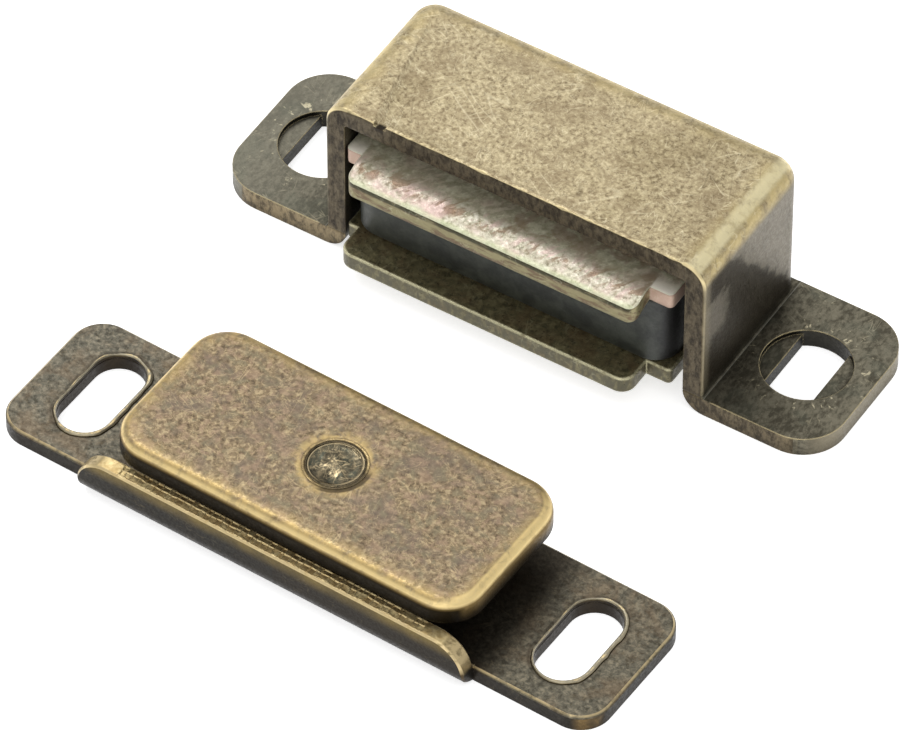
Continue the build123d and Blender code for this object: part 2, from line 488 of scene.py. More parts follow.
    def scratches(self, marks: Scratches) -> bpy.types.NodeSocket:
        """Scatters fine straight scratches that lie one way.

        Args:
            marks: The scratches.

        Returns:
            1 in a scratch and 0 beside it.
        """
        longer = (marks.length / marks.gap, 1.0, 1.0)
        lines = Clouds(grain=marks.gap, detail=1.0, rough=0.4, shift=marks.shift, stretch=longer)
        ridge = self.size(self.minus(self.clouds(lines, self.turned(marks.angle)), 0.5))
        where = Clouds(
            grain=marks.length * self.scratch_cluster,
            detail=2.0,
            rough=0.5,
            shift=marks.shift + self.scratch_shift,
            low=0.55,
            high=0.68,
        )
        return self.times(self.span(ridge, marks.width, 0.0), self.patches(where))

    def fibres(self, grain: float, width: float, shift: float) -> bpy.types.NodeSocket:
        """Lays down fine lines that wander like rubbed hairs.

        Args:
            grain: How far they run before they turn, in millimetres.
            width: How broad they are, as a share of the noise that they are cut from.
            shift: Another pattern for each value.

        Returns:
            1 on a line and 0 beside it.
        """
        cloud = self.clouds(Clouds(grain=grain, detail=2.0, rough=0.55, warp=0.9, shift=shift))
        ridge = self.size(self.minus(cloud, 0.5))
        where = Clouds(
            grain=grain, detail=1.0, rough=0.5, shift=shift + self.fibre_shift, low=0.44, high=0.56
        )
        return self.times(self.span(ridge, width, width * self.fibre_core), self.patches(where))

    def from_middle(self) -> bpy.types.NodeSocket:
        """Measures how far a point lies from the vertical through the origin, in millimetres."""
        return self.vector("LENGTH", self.vector("MULTIPLY", self.mm, (1, 1, 0)), (0, 0, 0))

    def toward(self, bearing: float) -> bpy.types.NodeSocket:
        """Marks a sector round the origin.

        Args:
            bearing: The sector's middle, in degrees from X.

        Returns:
            1 in the sector, which fades out to 0 on both sides.
        """
        flat = self.vector("NORMALIZE", self.vector("MULTIPLY", self.mm, (1, 1, 0)), (0, 0, 0))
        along = self.vector("DOT_PRODUCT", flat, (cos(radians(bearing)), sin(radians(bearing)), 0))
        return self.span(along, *self.sector)

    def edges(self, radius: float) -> tuple[bpy.types.NodeSocket, bpy.types.NodeSocket]:
        """Finds where the surface turns sharply.

        Args:
            radius: How far from an edge it looks, in millimetres.

        Returns:
            A mask that is 1 on an edge, and a normal that rounds the edge.
        """
        node = self.add("ShaderNodeBevel")
        node.samples = 4
        node.inputs["Radius"].default_value = radius * MM
        close = self.vector("DOT_PRODUCT", node.outputs["Normal"], self.normal)
        return self.span(close, *self.edge_turn), node.outputs["Normal"]

    def shoulder(self) -> bpy.types.NodeSocket:
        """Finds upper edges that are rounded or broken, between the flat tops and the sides."""
        upper = self.span(self.facing_z, *self.shoulder_upper)
        return self.times(upper, self.span(self.facing_z, *self.shoulder_lower))

    def inset(self, half_x: float, half_y: float, corner: float) -> bpy.types.NodeSocket:
        """Measures how far inside a round-cornered oblong a point lies.

        Args:
            half_x: Half its length, in millimetres.
            half_y: Half its width.
            corner: The radius of its corners.

        Returns:
            The distance from its outline, in millimetres, positive inside.
        """
        absolute = self.add("ShaderNodeVectorMath")
        absolute.operation = "ABSOLUTE"
        self.join(self.mm, absolute.inputs[0])
        over = self.vector("SUBTRACT", absolute.outputs[0], (half_x - corner, half_y - corner, 0))
        over = self.vector("MULTIPLY", self.vector("MAXIMUM", over, (0, 0, 0)), (1, 1, 0))
        return self.minus(corner, self.vector("LENGTH", over, (0, 0, 0)))

    def length(self, across: Feed, along: Feed) -> bpy.types.NodeSocket:
        """Gives the length of the hypotenuse over two distances."""
        return self.math(Op.ROOT, self.plus(self.times(across, across), self.times(along, along)))

    def from_slots(self, middle: Sequence[float], spacing: float, straight: float) -> bpy.types.NodeSocket:
        """Measures how far a point lies from the spine of the nearer of two slots.

        Args:
            middle: The middle between the slots, in millimetres.
            spacing: The distance between the slots along X.
            straight: How long each slot's straight sides are, along Y.

        Returns:
            The distance in the plane, in millimetres.
        """
        along = self.minus(self.size(self.minus(self.x, middle[0])), spacing / 2)
        across = self.size(self.minus(self.y, middle[1]))
        across = self.either(self.minus(across, straight / 2), 0.0)
        return self.length(along, across)

    def hollows(self, reach: float) -> bpy.types.NodeSocket:
        """Finds creases and gaps.

        Args:
            reach: How far away a neighbouring surface still counts, in millimetres.

        Returns:
            1 deep in a crease and 0 in the open.
        """
        node = self.add("ShaderNodeAmbientOcclusion")
        node.samples = 4
        node.inputs["Distance"].default_value = reach * MM
        return self.span(node.outputs["AO"], *self.open_air)

    def dress(
        self,
        color: Feed,
        rough: Feed,
        height: Feed,
        depth: float,
        metallic: Feed = 1.0,
        normal: Optional[bpy.types.NodeSocket] = None,
    ) -> bpy.types.Material:
        """Feeds the shader and returns the finished material.

        Args:
            color: The surface's colour.
            rough: Its roughness.
            height: Its relief, from 0 to 1.
            depth: How deep the relief is, in millimetres.
            metallic: 1 for bare or plated metal and 0 for anything else.
            normal: A normal that the relief is laid on, or None for the true one.

        Returns:
            The material.
        """
        self.feed(self.shader.inputs["Base Color"], color)
        self.feed(self.shader.inputs["Roughness"], rough)
        self.feed(self.shader.inputs["Metallic"], metallic)
        bump = self.add("ShaderNodeBump")
        bump.inputs["Strength"].default_value = 1.0
        bump.inputs["Distance"].default_value = depth * MM
        self.feed(bump.inputs["Height"], height)
        if normal is not None:
            self.join(normal, bump.inputs["Normal"])
        self.join(bump.outputs["Normal"], self.shader.inputs["Normal"])
        return self.material


@dataclass(frozen=True)
class PlatedSteel:
    """A plated finish on steel, mottled, scratched and rubbed bright on its edges."""

    name: str
    dark: Color
    middle: Color
    light: Color
    patch: Color
    edge: Color
    rough: float = 0.42
    grain: float = 0.5
    patch_size: float = 2.4
    patch_share: float = 0.5
    edge_width: float = 0.32
    edge_share: float = 0.85
    scratch_share: float = 0.25
    relief: float = 0.012
    metallic: float = 0.85
    fibre_share: float = 0.35
    dark_tones: Span = (0.36, 0.5)
    light_tones: Span = (0.5, 0.64)
    fibres: tuple[Triple, ...] = ((0.9, 0.022, 61.0), (0.6, 0.026, 67.0))
    marks: tuple[Scratches, ...] = (
        Scratches(angle=24, gap=0.5, length=3.4, width=0.02, shift=3.0),
        Scratches(angle=-51, gap=0.6, length=2.6, width=0.02, shift=17.0),
        Scratches(angle=80, gap=0.7, length=3.8, width=0.018, shift=41.0),
    )
    breaks: Clouds = Clouds(grain=0.7, warp=0.4, shift=57.0, low=0.33, high=0.5, least=0.35)
    relief_grain: float = 0.6
    rough_tones: Span = (0.35, 0.65)
    rough_below: float = 0.09
    rough_above: float = 0.12
    polish: float = 0.12

    def mottle(self, graph: Graph) -> bpy.types.NodeSocket:
        """Lays the plate's clouds and patches.

        Args:
            graph: The material being made.

        Returns:
            The colour before edges and scratches.
        """
        fine = graph.clouds(Clouds(grain=self.grain, detail=6.0, rough=0.62, warp=0.3))
        low = graph.mix(graph.span(fine, *self.dark_tones), self.dark, self.middle)
        color = graph.mix(graph.span(fine, *self.light_tones), low, self.light)
        broad = Clouds(grain=self.patch_size, detail=5.0, warp=0.6, shift=31.0, low=0.45, high=0.66)
        color = graph.mix(graph.times(graph.patches(broad), self.patch_share), color, self.patch)
        lines = graph.either(*(graph.fibres(*fibre) for fibre in self.fibres))
        return graph.mix(graph.times(lines, self.fibre_share), color, self.edge)

    def wear(
        self, graph: Graph, color: Feed, edge: Feed
    ) -> tuple[bpy.types.NodeSocket, bpy.types.NodeSocket]:
        """Adds scratches and rubbed edges.

        Args:
            graph: The material being made.
            color: The colour so far.
            edge: The mask of the edges.

        Returns:
            The worn colour, and the mask of all that is worn bright.
        """
        scratch = graph.either(*(graph.scratches(marks) for marks in self.marks))
        rubbed = graph.times(edge, graph.patches(self.breaks), self.edge_share)
        worn = graph.math(Op.LARGER, graph.times(scratch, self.scratch_share), rubbed, True)
        return graph.mix(worn, color, self.edge), worn

    def finish(
        self, graph: Graph, color: Feed, worn: Feed, normal: bpy.types.NodeSocket
    ) -> bpy.types.Material:
        """Sets roughness and relief, and returns the material.

        Args:
            graph: The material being made.
            color: The surface's colour.
            worn: The mask of what is worn bright.
            normal: The normal that rounds the edges.

        Returns:
            The material.
        """
        fine = graph.clouds(
            Clouds(grain=self.grain * self.relief_grain, detail=5.0, rough=0.65, shift=71.0)
        )
        ends = (self.rough - self.rough_below, self.rough + self.rough_above)
        rough = graph.blend_numbers(
            worn, graph.span(fine, *self.rough_tones, *ends), self.rough - self.polish
        )
        return graph.dress(color, rough, fine, self.relief, self.metallic, normal)


def coat(name: str, material: bpy.types.Material) -> bpy.types.Object:
    """Gives a solid of the frame its finish.

    Args:
        name: The node.
        material: Its finish.

    Returns:
        The node's object.
    """
    piece = frame["nodes"][name]
    for place in piece.material_slots:
        place.material = material
    log.info("%s is finished in %s", name, material.name)
    return piece


@dataclass
class Case:
    """The pressed steel case: its mouth nicked by the shears, its top rubbed light, its ears dark."""

    node: str = "case"
    sheet: float = 1.6
    bend: float = 1.85
    half: float = 15.5
    screw_x: float = 20.0
    hole_radius: float = 3.3
    mouth_break: float = 0.3
    # The shears' marks on the mouth: where they are cut, how far they reach, and how sharp the arris stays.
    shear_step: float = 0.35
    shear_jitter: tuple[float, float] = (0.7, 0.6)
    near: float = 2e-3
    bend_margin: float = 0.05
    nick_x: float = -11.0
    nick_reach: float = 0.5
    nick_depth: float = 1.9
    nick_over: float = 0.1
    nick_curve: float = 0.6
    nick_cuts: tuple[float, ...] = (-1, -0.4, 0.1, 0.45, 1)
    sharpness: float = 0.45
    raggedness: float = 0.7
    worn_start: float = 1.6
    ragged_waves: tuple[Triple, Triple] = ((1.7, 0.3, 0.7), (4.7, 2.3, 0.1))
    fine_share: float = 0.7
    burr_starts: tuple[float, ...] = (-11.2, -0.7, 9.8)
    burr_reach: float = 2.2
    burr_depth: float = 0.16
    burr_wander: float = 0.03
    arris_wear: float = 0.07
    finish: PlatedSteel = PlatedSteel(
        name="worn_case_plate",
        dark=display(138, 123, 95),
        middle=display(178, 163, 130),
        light=display(204, 190, 154),
        patch=display(148, 131, 102),
        edge=display(236, 225, 190),
        rough=0.45,
        grain=0.3,
        patch_share=0.6,
        scratch_share=0.5,
        fibre_share=0.3,
    )
    gold: Color = display(222, 202, 146)
    shoulder_highlight: Color = display(244, 232, 188)
    dim: Color = display(214, 212, 206)
    speck: Color = display(104, 90, 66)
    stain: Color = display(212, 208, 196)
    ear_dark: Color = display(74, 70, 58)
    ear_light: Color = display(118, 113, 97)
    ear_tint: Color = display(94, 98, 86)
    left_pale: Color = display(138, 135, 121)
    ear_side: Color = display(142, 133, 112)
    ear_cut: Color = display(150, 134, 104)
    cut_dark: Color = display(48, 41, 31)
    cut_light: Color = display(98, 88, 70)
    wall_pale: Color = display(122, 115, 102)
    wall_dark: Color = display(52, 45, 34)
    hole_wall: Color = display(44, 42, 37)
    crease_pale: Color = display(150, 148, 138)
    arris: Color = display(226, 208, 160)
    # Where the top's finish gives way to the ears': heights from the top, and how far the surface faces up.
    top_fade: Span = (-2.4, -0.5)
    facing_fade: Span = (-0.1, 0.4)
    # The shorn front face, and its paler foot.
    cut_reach: float = 0.2
    cut_facing: Span = (-0.6, -0.9)
    cut_streaks: Clouds = Clouds(
        grain=0.4, detail=6.0, rough=0.7, warp=0.2, shift=11.0, stretch=(1.0, 1.0, 2.2)
    )
    cut_tones: Span = (0.34, 0.66)
    foot_tones: Span = (0.4, 0.6, 0.25, 0.9)
    foot_height: Span = (2.0, 1.4)
    foot_side: Span = (5.0, -18.0, 0.35, 1.0)
    # The creases' painted shade, and the pale line in the one beside each wall.
    crease_reach: float = 2.4
    crease_shade_share: float = 0.75
    crease_line: float = 0.1
    crease_width: Span = (0.045, 0.018)
    crease_facing: float = 0.6
    crease_height: float = 0.06
    crease_pale_share: float = 0.45
    # The rubbed arrises of the walls, ears and mouth.
    arris_width: float = 0.14
    arris_share: float = 0.9
    arris_breaks: Clouds = Clouds(grain=0.8, warp=0.4, shift=57.0, low=0.34, high=0.5, least=0.35)
    open_crease: Span = (0.6, 0.2)
    wall_arris: Span = (4.0, 6.0, 0.0, 0.3)
    ear_start: Span = (0.5, 0.8)
    ear_arris: Span = (-0.26, -0.08)
    mouth_arris: Span = (-2.2, -0.8, 0.12, 1.0)
    mouth_leaning: Span = (-0.22, -0.4)
    mouth_facing: Span = (-0.97, -0.85)
    # The nick's dark patch: shares of its reach, depths behind the mouth and heights from the top.
    nick_width: Span = (0.75, 0.45)
    nick_behind: Span = (0.65, 0.4)
    nick_height: Span = (-0.8, -0.55)
    # The top's specks, gold margin, dim right half, stains and long scratches.
    specks: Clouds = Clouds(grain=0.42, detail=3.0, warp=0.8, shift=83.0, low=0.36, high=0.28)
    speck_spots: Clouds = Clouds(grain=3.2, detail=3.0, rough=0.5, warp=0.3, shift=13.0, low=0.42, high=0.6)
    speck_share: float = 0.7
    margin: Span = (2.7, 0.4)
    margin_clouds: Clouds = Clouds(grain=1.6, detail=5.0, warp=0.5, shift=19.0, low=0.3, high=0.62)
    margin_share: float = 0.8
    dim_side: Span = (4.0, 13.0, 0.0, 0.4)
    top_stains: Clouds = Clouds(grain=6.0, detail=3.0, warp=0.8, shift=33.0, low=0.5, high=0.64, most=0.4)
    pale_marks: tuple[Scratches, ...] = (
        Scratches(angle=31, gap=1.1, length=8.0, width=0.03, shift=5.0),
        Scratches(angle=-42, gap=1.3, length=7.0, width=0.03, shift=25.0),
    )
    dark_marks: Scratches = Scratches(angle=64, gap=1.2, length=6.0, width=0.03, shift=45.0)
    long_share: float = 0.4
    # The painted highlight on the right shoulder, by how far the surface faces right.
    highlight_start: Span = (0.05, 0.4)
    highlight_end: Span = (0.78, 0.6)
    highlight_clouds: Clouds = Clouds(
        grain=0.9, detail=5.0, warp=0.4, shift=97.0, low=0.3, high=0.55, least=0.35, most=0.9
    )
    # The ears' mottle, and their paler left end.
    ear_fine: Clouds = Clouds(
        grain=0.34, detail=7.0, rough=0.7, warp=0.2, shift=5.0, stretch=(1.0, 1.7, 1.0)
    )
    ear_broad: Clouds = Clouds(grain=2.2, detail=3.0, warp=0.4, shift=15.0)
    ear_share: float = 0.35
    ear_tones: Span = (0.4, 0.6)
    left_end: Span = (-14.0, -24.0, 0.0, 0.45)
    ear_tints: Clouds = Clouds(grain=2.6, detail=3.0, rough=0.5, warp=0.3, shift=29.0, low=0.5, high=0.64)
    tint_share: float = 0.25
    ear_side_facing: Span = (0.4, 0.9)
    ear_side_share: float = 0.7
    # The walls: painted reflection, dark below a slanting line and pale above it, with a pale patch by the
    # mouth.
    wall_height: Span = (1.8, 2.4)
    wall_clouds: Clouds = Clouds(grain=1.1, detail=5.0, warp=0.4, shift=91.0)
    wall_tones: Span = (0.3, 0.6, 0.5, 0.9)
    wall_share: float = 0.85
    reflection_slope: float = 1.15
    reflection_start: float = 2.3
    reflection_wander: float = 3.0
    reflection_blur: Span = (-0.5, 0.5)
    flank_facing: Span = (0.3, 0.7, 0.35, 1.0)
    patch_wander: float = 2.0
    patch_depth: Span = (3.6, 2.2)
    patch_upper: Span = (-3.6, -4.2)
    patch_lower: Span = (-8.2, -6.8)
    mouth_strip: Span = (1.1, 0.3, 0.0, 0.75)
    # The scuffs that screw heads leave round the holes.
    scuff_rays: Clouds = Clouds(
        grain=0.36, detail=3.0, warp=0.5, shift=7.0, stretch=(1.0, 3.0, 0.2), low=0.58, high=0.64
    )
    scuff_clouds: Clouds = Clouds(grain=0.8, rough=0.65, warp=0.4, shift=37.0, low=0.48, high=0.6)
    scuff_inner: Span = (0.0, 0.3)
    scuff_outer: Span = (2.2, 0.5)
    scuff_turns: float = 3.0
    scuff_share: float = 0.6
    hole_margin: float = 0.05
    hole_share: float = 0.9
    ear_wear: float = 0.4
    # Where a surface counts as level, and how far masks reach past the faces that they mark.
    level_facing: float = 0.5
    slack: float = 0.1
    mouth_slack: float = 0.02
    roof_share: float = 0.75

    def build(self) -> None:
        """Cuts the shears' marks into the mouth and dresses the case."""
        low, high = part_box(self.node)
        self.top = high[2] / MM
        self.front = low[1] / MM
        self.rear = high[1] / MM
        remade = Remade(self.node)
        self.divide_mouth(remade)
        self.wear_mouth(remade)
        piece = remade.place("worn_case", "root", "case_steel", self.arris_wear)
        piece.data.materials.append(self.dress())

    def divide_mouth(self, remade: Remade) -> None:
        """Divides the mouth's upper faces into short lengths.

        Args:
            remade: The case in mesh code.
        """
        flat = self.half - self.bend
        at = -flat
        cuts = [self.nick_x + self.nick_reach * share for share in self.nick_cuts]
        least, more = self.shear_jitter
        while at < flat:
            cuts.append(at)
            at += self.shear_step * (least + more * noise.random_unit_vector().x ** 2)
        lowest = (self.top - self.sheet) * MM - HAIR
        foremost = (self.front + self.mouth_break) * MM + HAIR

        def at_mouth(face: bmesh.types.BMFace) -> bool:
            """Says whether a face is part of the roof's front."""
            return all(v.co.z > lowest and v.co.y < foremost for v in face.verts)

        for cut in cuts:
            remade.slice(at_mouth, Vector((cut * MM, 0, 0)), Vector((1, 0, 0)))

    def wear_mouth(self, remade: Remade) -> None:
        """Moves the arrises of the roof's front: a ragged upper one, a nick, and burrs below.

        Args:
            remade: The case in mesh code.
        """
        flat = self.half - self.bend - self.bend_margin
        corner = Vector((self.front, self.top))
        inner = corner + Vector((self.mouth_break, -self.mouth_break))
        for point in remade.mesh.verts:
            x, y, z = point.co / MM
            if abs(x) > flat or y > inner.x + self.near:
                continue
            broad, fine = (noise.noise(Vector((x * waves, *row))) for waves, *row in self.ragged_waves)
            ragged = broad + self.fine_share * fine
            if z > inner.y - self.near:
                turn = min(inner.x - y, z - inner.y) / self.mouth_break
                share = min(1.0, self.worn_start * max(turn, 0.0))
                share *= self.sharpness + self.raggedness * ragged
                place = Vector((y, z)) + (corner - Vector((y, z))) * share
                nick = max(0.0, 1 - abs(x - self.nick_x) / self.nick_reach) ** self.nick_curve
                over = Vector((self.nick_over, -self.nick_over))
                place += (inner - place + over) * nick * self.nick_depth
                point.co.y, point.co.z = place.x * MM, place.y * MM
            elif abs(y - self.front) < self.near and abs(z - self.top + self.sheet) < self.near:
                point.co.z += (self.burr_wander * ragged - self.burr(x)) * MM

    def burr(self, x: float) -> float:
        """Says how far the burr hangs at a place along the mouth, in millimetres.

        Args:
            x: The place, in millimetres.

        Returns:
            The drop, which begins sharply and fades out.
        """
        drops = [
            self.burr_depth * (1 - (x - start) / self.burr_reach)
            for start in self.burr_starts
            if start <= x < start + self.burr_reach
        ]
        return max(drops, default=0.0)

    def dress(self) -> bpy.types.Material:
        """Makes the case's finish and returns it."""
        graph = Graph(self.finish.name)
        bright = self.dress_top(graph)
        dull = self.dress_ears(graph)
        outside = graph.times(
            graph.span(graph.z, *beyond(self.top, self.top_fade)),
            graph.span(graph.facing_z, *self.facing_fade),
        )
        color = self.dress_mouth(graph, graph.mix(outside, dull, bright))
        # Painted shade: the creases are darkened in the colour.
        crease = graph.hollows(self.crease_reach)
        color = graph.mix(graph.times(crease, self.crease_shade_share), color, self.ear_dark, "MULTIPLY")
        rubbed, rounded = self.rub_edges(graph, crease)
        color = graph.mix(rubbed, color, self.arris)
        color = graph.mix(self.mark_nick(graph), color, self.cut_dark)
        color = graph.mix(self.mark_creases(graph), color, self.crease_pale)
        return self.finish.finish(graph, color, rubbed, rounded)

    def dress_mouth(self, graph: Graph, color: Feed) -> bpy.types.NodeSocket:
        """Darkens the shorn front face, less so at its foot.

        Args:
            graph: The material being made.
            color: The colour so far.

        Returns:
            The colour.
        """
        cut = graph.times(
            graph.math(Op.LESS, graph.y, self.front + self.cut_reach),
            graph.span(graph.facing_y, *self.cut_facing),
        )
        streak = graph.clouds(self.cut_streaks)
        shorn = graph.mix(graph.span(streak, *self.cut_tones), self.cut_dark, self.cut_light)
        foot = graph.times(graph.span(graph.z, *self.foot_height), graph.span(streak, *self.foot_tones))
        foot = graph.times(foot, graph.span(graph.x, *self.foot_side))
        return graph.mix(cut, color, graph.mix(foot, shorn, self.ear_cut))

    def rub_edges(self, graph: Graph, crease: Feed) -> tuple[bpy.types.NodeSocket, bpy.types.NodeSocket]:
        """Finds the arrises that are rubbed bright.

        Args:
            graph: The material being made.
            crease: The mask of the creases, which stay dark.

        Returns:
            Their mask, and a normal that rounds all edges.
        """
        edge, rounded = graph.edges(self.arris_width)
        on_ear = graph.math(Op.LESS, graph.z, self.sheet + self.slack)
        from_wall = graph.minus(graph.size(graph.x), self.half)
        clear = graph.span(from_wall, *self.ear_start)
        mouth = graph.times(
            graph.math(Op.LESS, graph.y, self.front + self.mouth_break + self.mouth_slack),
            graph.span(graph.facing_y, *self.mouth_leaning),
            graph.span(graph.facing_y, *self.mouth_facing),
            graph.span(graph.z, *beyond(self.top, self.mouth_arris)),
        )
        ear = graph.times(graph.shoulder(), graph.span(graph.z, *beyond(self.sheet, self.ear_arris)))
        inside = graph.times(
            graph.math(Op.LESS, from_wall, self.slack - self.bend),
            graph.math(Op.LESS, graph.z, self.top - self.sheet * self.roof_share),
        )
        edge = graph.times(edge, graph.either(clear, graph.span(graph.z, *self.wall_arris)))
        edge = graph.either(edge, graph.times(ear, on_ear, clear), mouth)
        edge = graph.times(edge, graph.minus(1.0, inside))
        open_edge = graph.span(crease, *self.open_crease)
        return graph.times(edge, graph.patches(self.arris_breaks), open_edge, self.arris_share), rounded

    def mark_nick(self, graph: Graph) -> bpy.types.NodeSocket:
        """Marks the nick in the mouth's upper arris."""
        beside = graph.size(graph.minus(graph.x, self.nick_x))
        return graph.times(
            graph.span(beside, *(self.nick_reach * share for share in self.nick_width)),
            graph.span(graph.y, *beyond(self.front, self.nick_behind)),
            graph.span(graph.z, *beyond(self.top, self.nick_height)),
        )

    def mark_creases(self, graph: Graph) -> bpy.types.NodeSocket:
        """Marks the pale line where each ear turns out of its wall."""
        from_wall = graph.minus(graph.size(graph.x), self.half)
        line = graph.size(graph.minus(from_wall, self.crease_line))
        return graph.times(
            graph.span(line, *self.crease_width),
            graph.math(Op.MORE, graph.facing_z, self.crease_facing),
            graph.math(Op.LESS, graph.z, self.sheet + self.crease_height),
            self.crease_pale_share,
        )

    def dress_top(self, graph: Graph) -> bpy.types.NodeSocket:
        """Lays the top's mottle, specks and scratches, the gold rubbed along three sides, and a painted
        highlight on the right shoulder.

        Args:
            graph: The material being made.

        Returns:
            The colour.
        """
        color = self.finish.mottle(graph)
        specks = graph.times(graph.patches(self.specks), graph.patches(self.speck_spots), self.speck_share)
        color = graph.mix(specks, color, self.speck)
        side = graph.minus(self.half, graph.size(graph.x))
        margin = graph.math(Op.SMALLER, side, graph.minus(self.rear, graph.y))
        rubbed = graph.times(
            graph.span(margin, *self.margin), graph.patches(self.margin_clouds), self.margin_share
        )
        color = graph.mix(rubbed, color, self.gold)
        color = graph.mix(graph.span(graph.x, *self.dim_side), color, self.dim, "MULTIPLY")
        color = graph.mix(graph.patches(self.top_stains), color, self.stain, "MULTIPLY")
        color, _ = self.finish.wear(graph, color, 0.0)
        pale = graph.either(*(graph.scratches(marks) for marks in self.pale_marks))
        color = graph.mix(graph.times(pale, self.long_share), color, self.finish.edge)
        color = graph.mix(graph.times(graph.scratches(self.dark_marks), self.long_share), color, self.speck)
        # Painted highlight on the right shoulder.
        highlight_band = graph.times(
            graph.span(graph.facing_x, *self.highlight_start),
            graph.span(graph.facing_x, *self.highlight_end),
            graph.patches(self.highlight_clouds),
        )
        return graph.mix(highlight_band, color, self.shoulder_highlight)

    def dress_ears(self, graph: Graph) -> bpy.types.NodeSocket:
        """Lays the dark plate of the ears and walls, with painted reflection on the walls, scuffed by screw
        heads round the holes.

        Args:
            graph: The material being made.

        Returns:
            The colour.
        """
        grey = graph.blend_numbers(
            self.ear_share, graph.clouds(self.ear_fine), graph.clouds(self.ear_broad)
        )
        color = graph.mix(graph.span(grey, *self.ear_tones), self.ear_dark, self.ear_light)
        color = graph.mix(graph.span(graph.x, *self.left_end), color, self.left_pale)
        color = graph.mix(graph.times(graph.patches(self.ear_tints), self.tint_share), color, self.ear_tint)
        color = self.dress_walls(graph, color)
        side = graph.times(
            graph.span(graph.facing_x, *self.ear_side_facing),
            graph.math(Op.LESS, graph.z, self.sheet),
            graph.math(Op.MORE, graph.x, self.screw_x),
            self.ear_side_share,
        )
        color = graph.mix(side, color, self.ear_side)
        across = graph.minus(graph.size(graph.x), self.screw_x)
        away = graph.length(across, graph.y)
        level = graph.math(Op.MORE, graph.facing_z, self.level_facing)
        color = graph.mix(self.scuff(graph, across, away, level), color, self.finish.edge)
        in_hole = graph.math(Op.LESS, away, self.hole_radius + self.hole_margin)
        color = graph.mix(graph.times(in_hole, graph.upright(), self.hole_share), color, self.hole_wall)
        worn, _ = self.finish.wear(graph, color, 0.0)
        return graph.mix(graph.times(level, self.ear_wear), color, worn)

    def dress_walls(self, graph: Graph, color: Feed) -> bpy.types.NodeSocket:
        """Paints reflection on the walls: dark below a slanting line and pale above it towards the rear, and
        pale in a patch by the mouth.

        Args:
            graph: The material being made.
            color: The colour so far.

        Returns:
            The colour.
        """
        wall = graph.times(graph.upright(), graph.span(graph.z, *self.wall_height))
        # This noise wanders the painted reflection's edge and the pale patch's edges, and varies the pale
        # tone.
        stain = graph.clouds(self.wall_clouds)
        wander = graph.minus(stain, 0.5)
        slant = graph.plus(graph.z, graph.times(graph.y, self.reflection_slope))
        slant = graph.plus(slant, graph.times(wander, self.reflection_wander))
        limit = self.top + self.reflection_slope * (self.front + self.reflection_start)
        flank = graph.span(graph.size(graph.facing_x), *self.flank_facing)
        pale = graph.times(graph.span(slant, *beyond(limit, self.reflection_blur)), flank)
        height = graph.plus(graph.z, graph.times(wander, self.patch_wander))
        depth = graph.plus(graph.y, graph.times(wander, self.patch_wander))
        near_mouth = graph.times(
            graph.span(depth, *beyond(self.front, self.patch_depth)),
            graph.span(height, *beyond(self.top, self.patch_upper)),
            graph.span(height, *beyond(self.top, self.patch_lower)),
        )
        pale = graph.either(pale, near_mouth)
        color = graph.mix(graph.times(wall, graph.minus(1.0, pale), self.wall_share), color, self.wall_dark)
        color = graph.mix(
            graph.times(wall, pale, graph.span(stain, *self.wall_tones)), color, self.wall_pale
        )
        strip = graph.span(graph.y, *beyond(self.front, self.mouth_strip))
        return graph.mix(graph.times(wall, strip), color, self.ear_side)

    def scuff(self, graph: Graph, across: Feed, away: Feed, level: Feed) -> bpy.types.NodeSocket:
        """Scatters short scuffs round the holes, as screw heads leave them.

        Args:
            graph: The material being made.
            across: The distance from the hole's middle along X, in millimetres.
            away: The distance from the hole's middle, in millimetres.
            level: The mask of the surfaces that face up.

        Returns:
            The scuffs' mask.
        """
        ring = graph.add("ShaderNodeCombineXYZ")
        graph.feed(ring.inputs[0], graph.times(graph.math(Op.ANGLE, graph.y, across), self.scuff_turns))
        graph.feed(ring.inputs[1], away)
        graph.feed(ring.inputs[2], graph.math(Op.LESS, graph.x, 0.0))
        rays = graph.patches(self.scuff_rays, ring.outputs[0])
        around = graph.times(
            graph.span(away, *beyond(self.hole_radius, self.scuff_inner)),
            graph.span(away, *beyond(self.hole_radius, self.scuff_outer)),
        )
        return graph.times(rays, around, graph.patches(self.scuff_clouds), level, self.scuff_share)


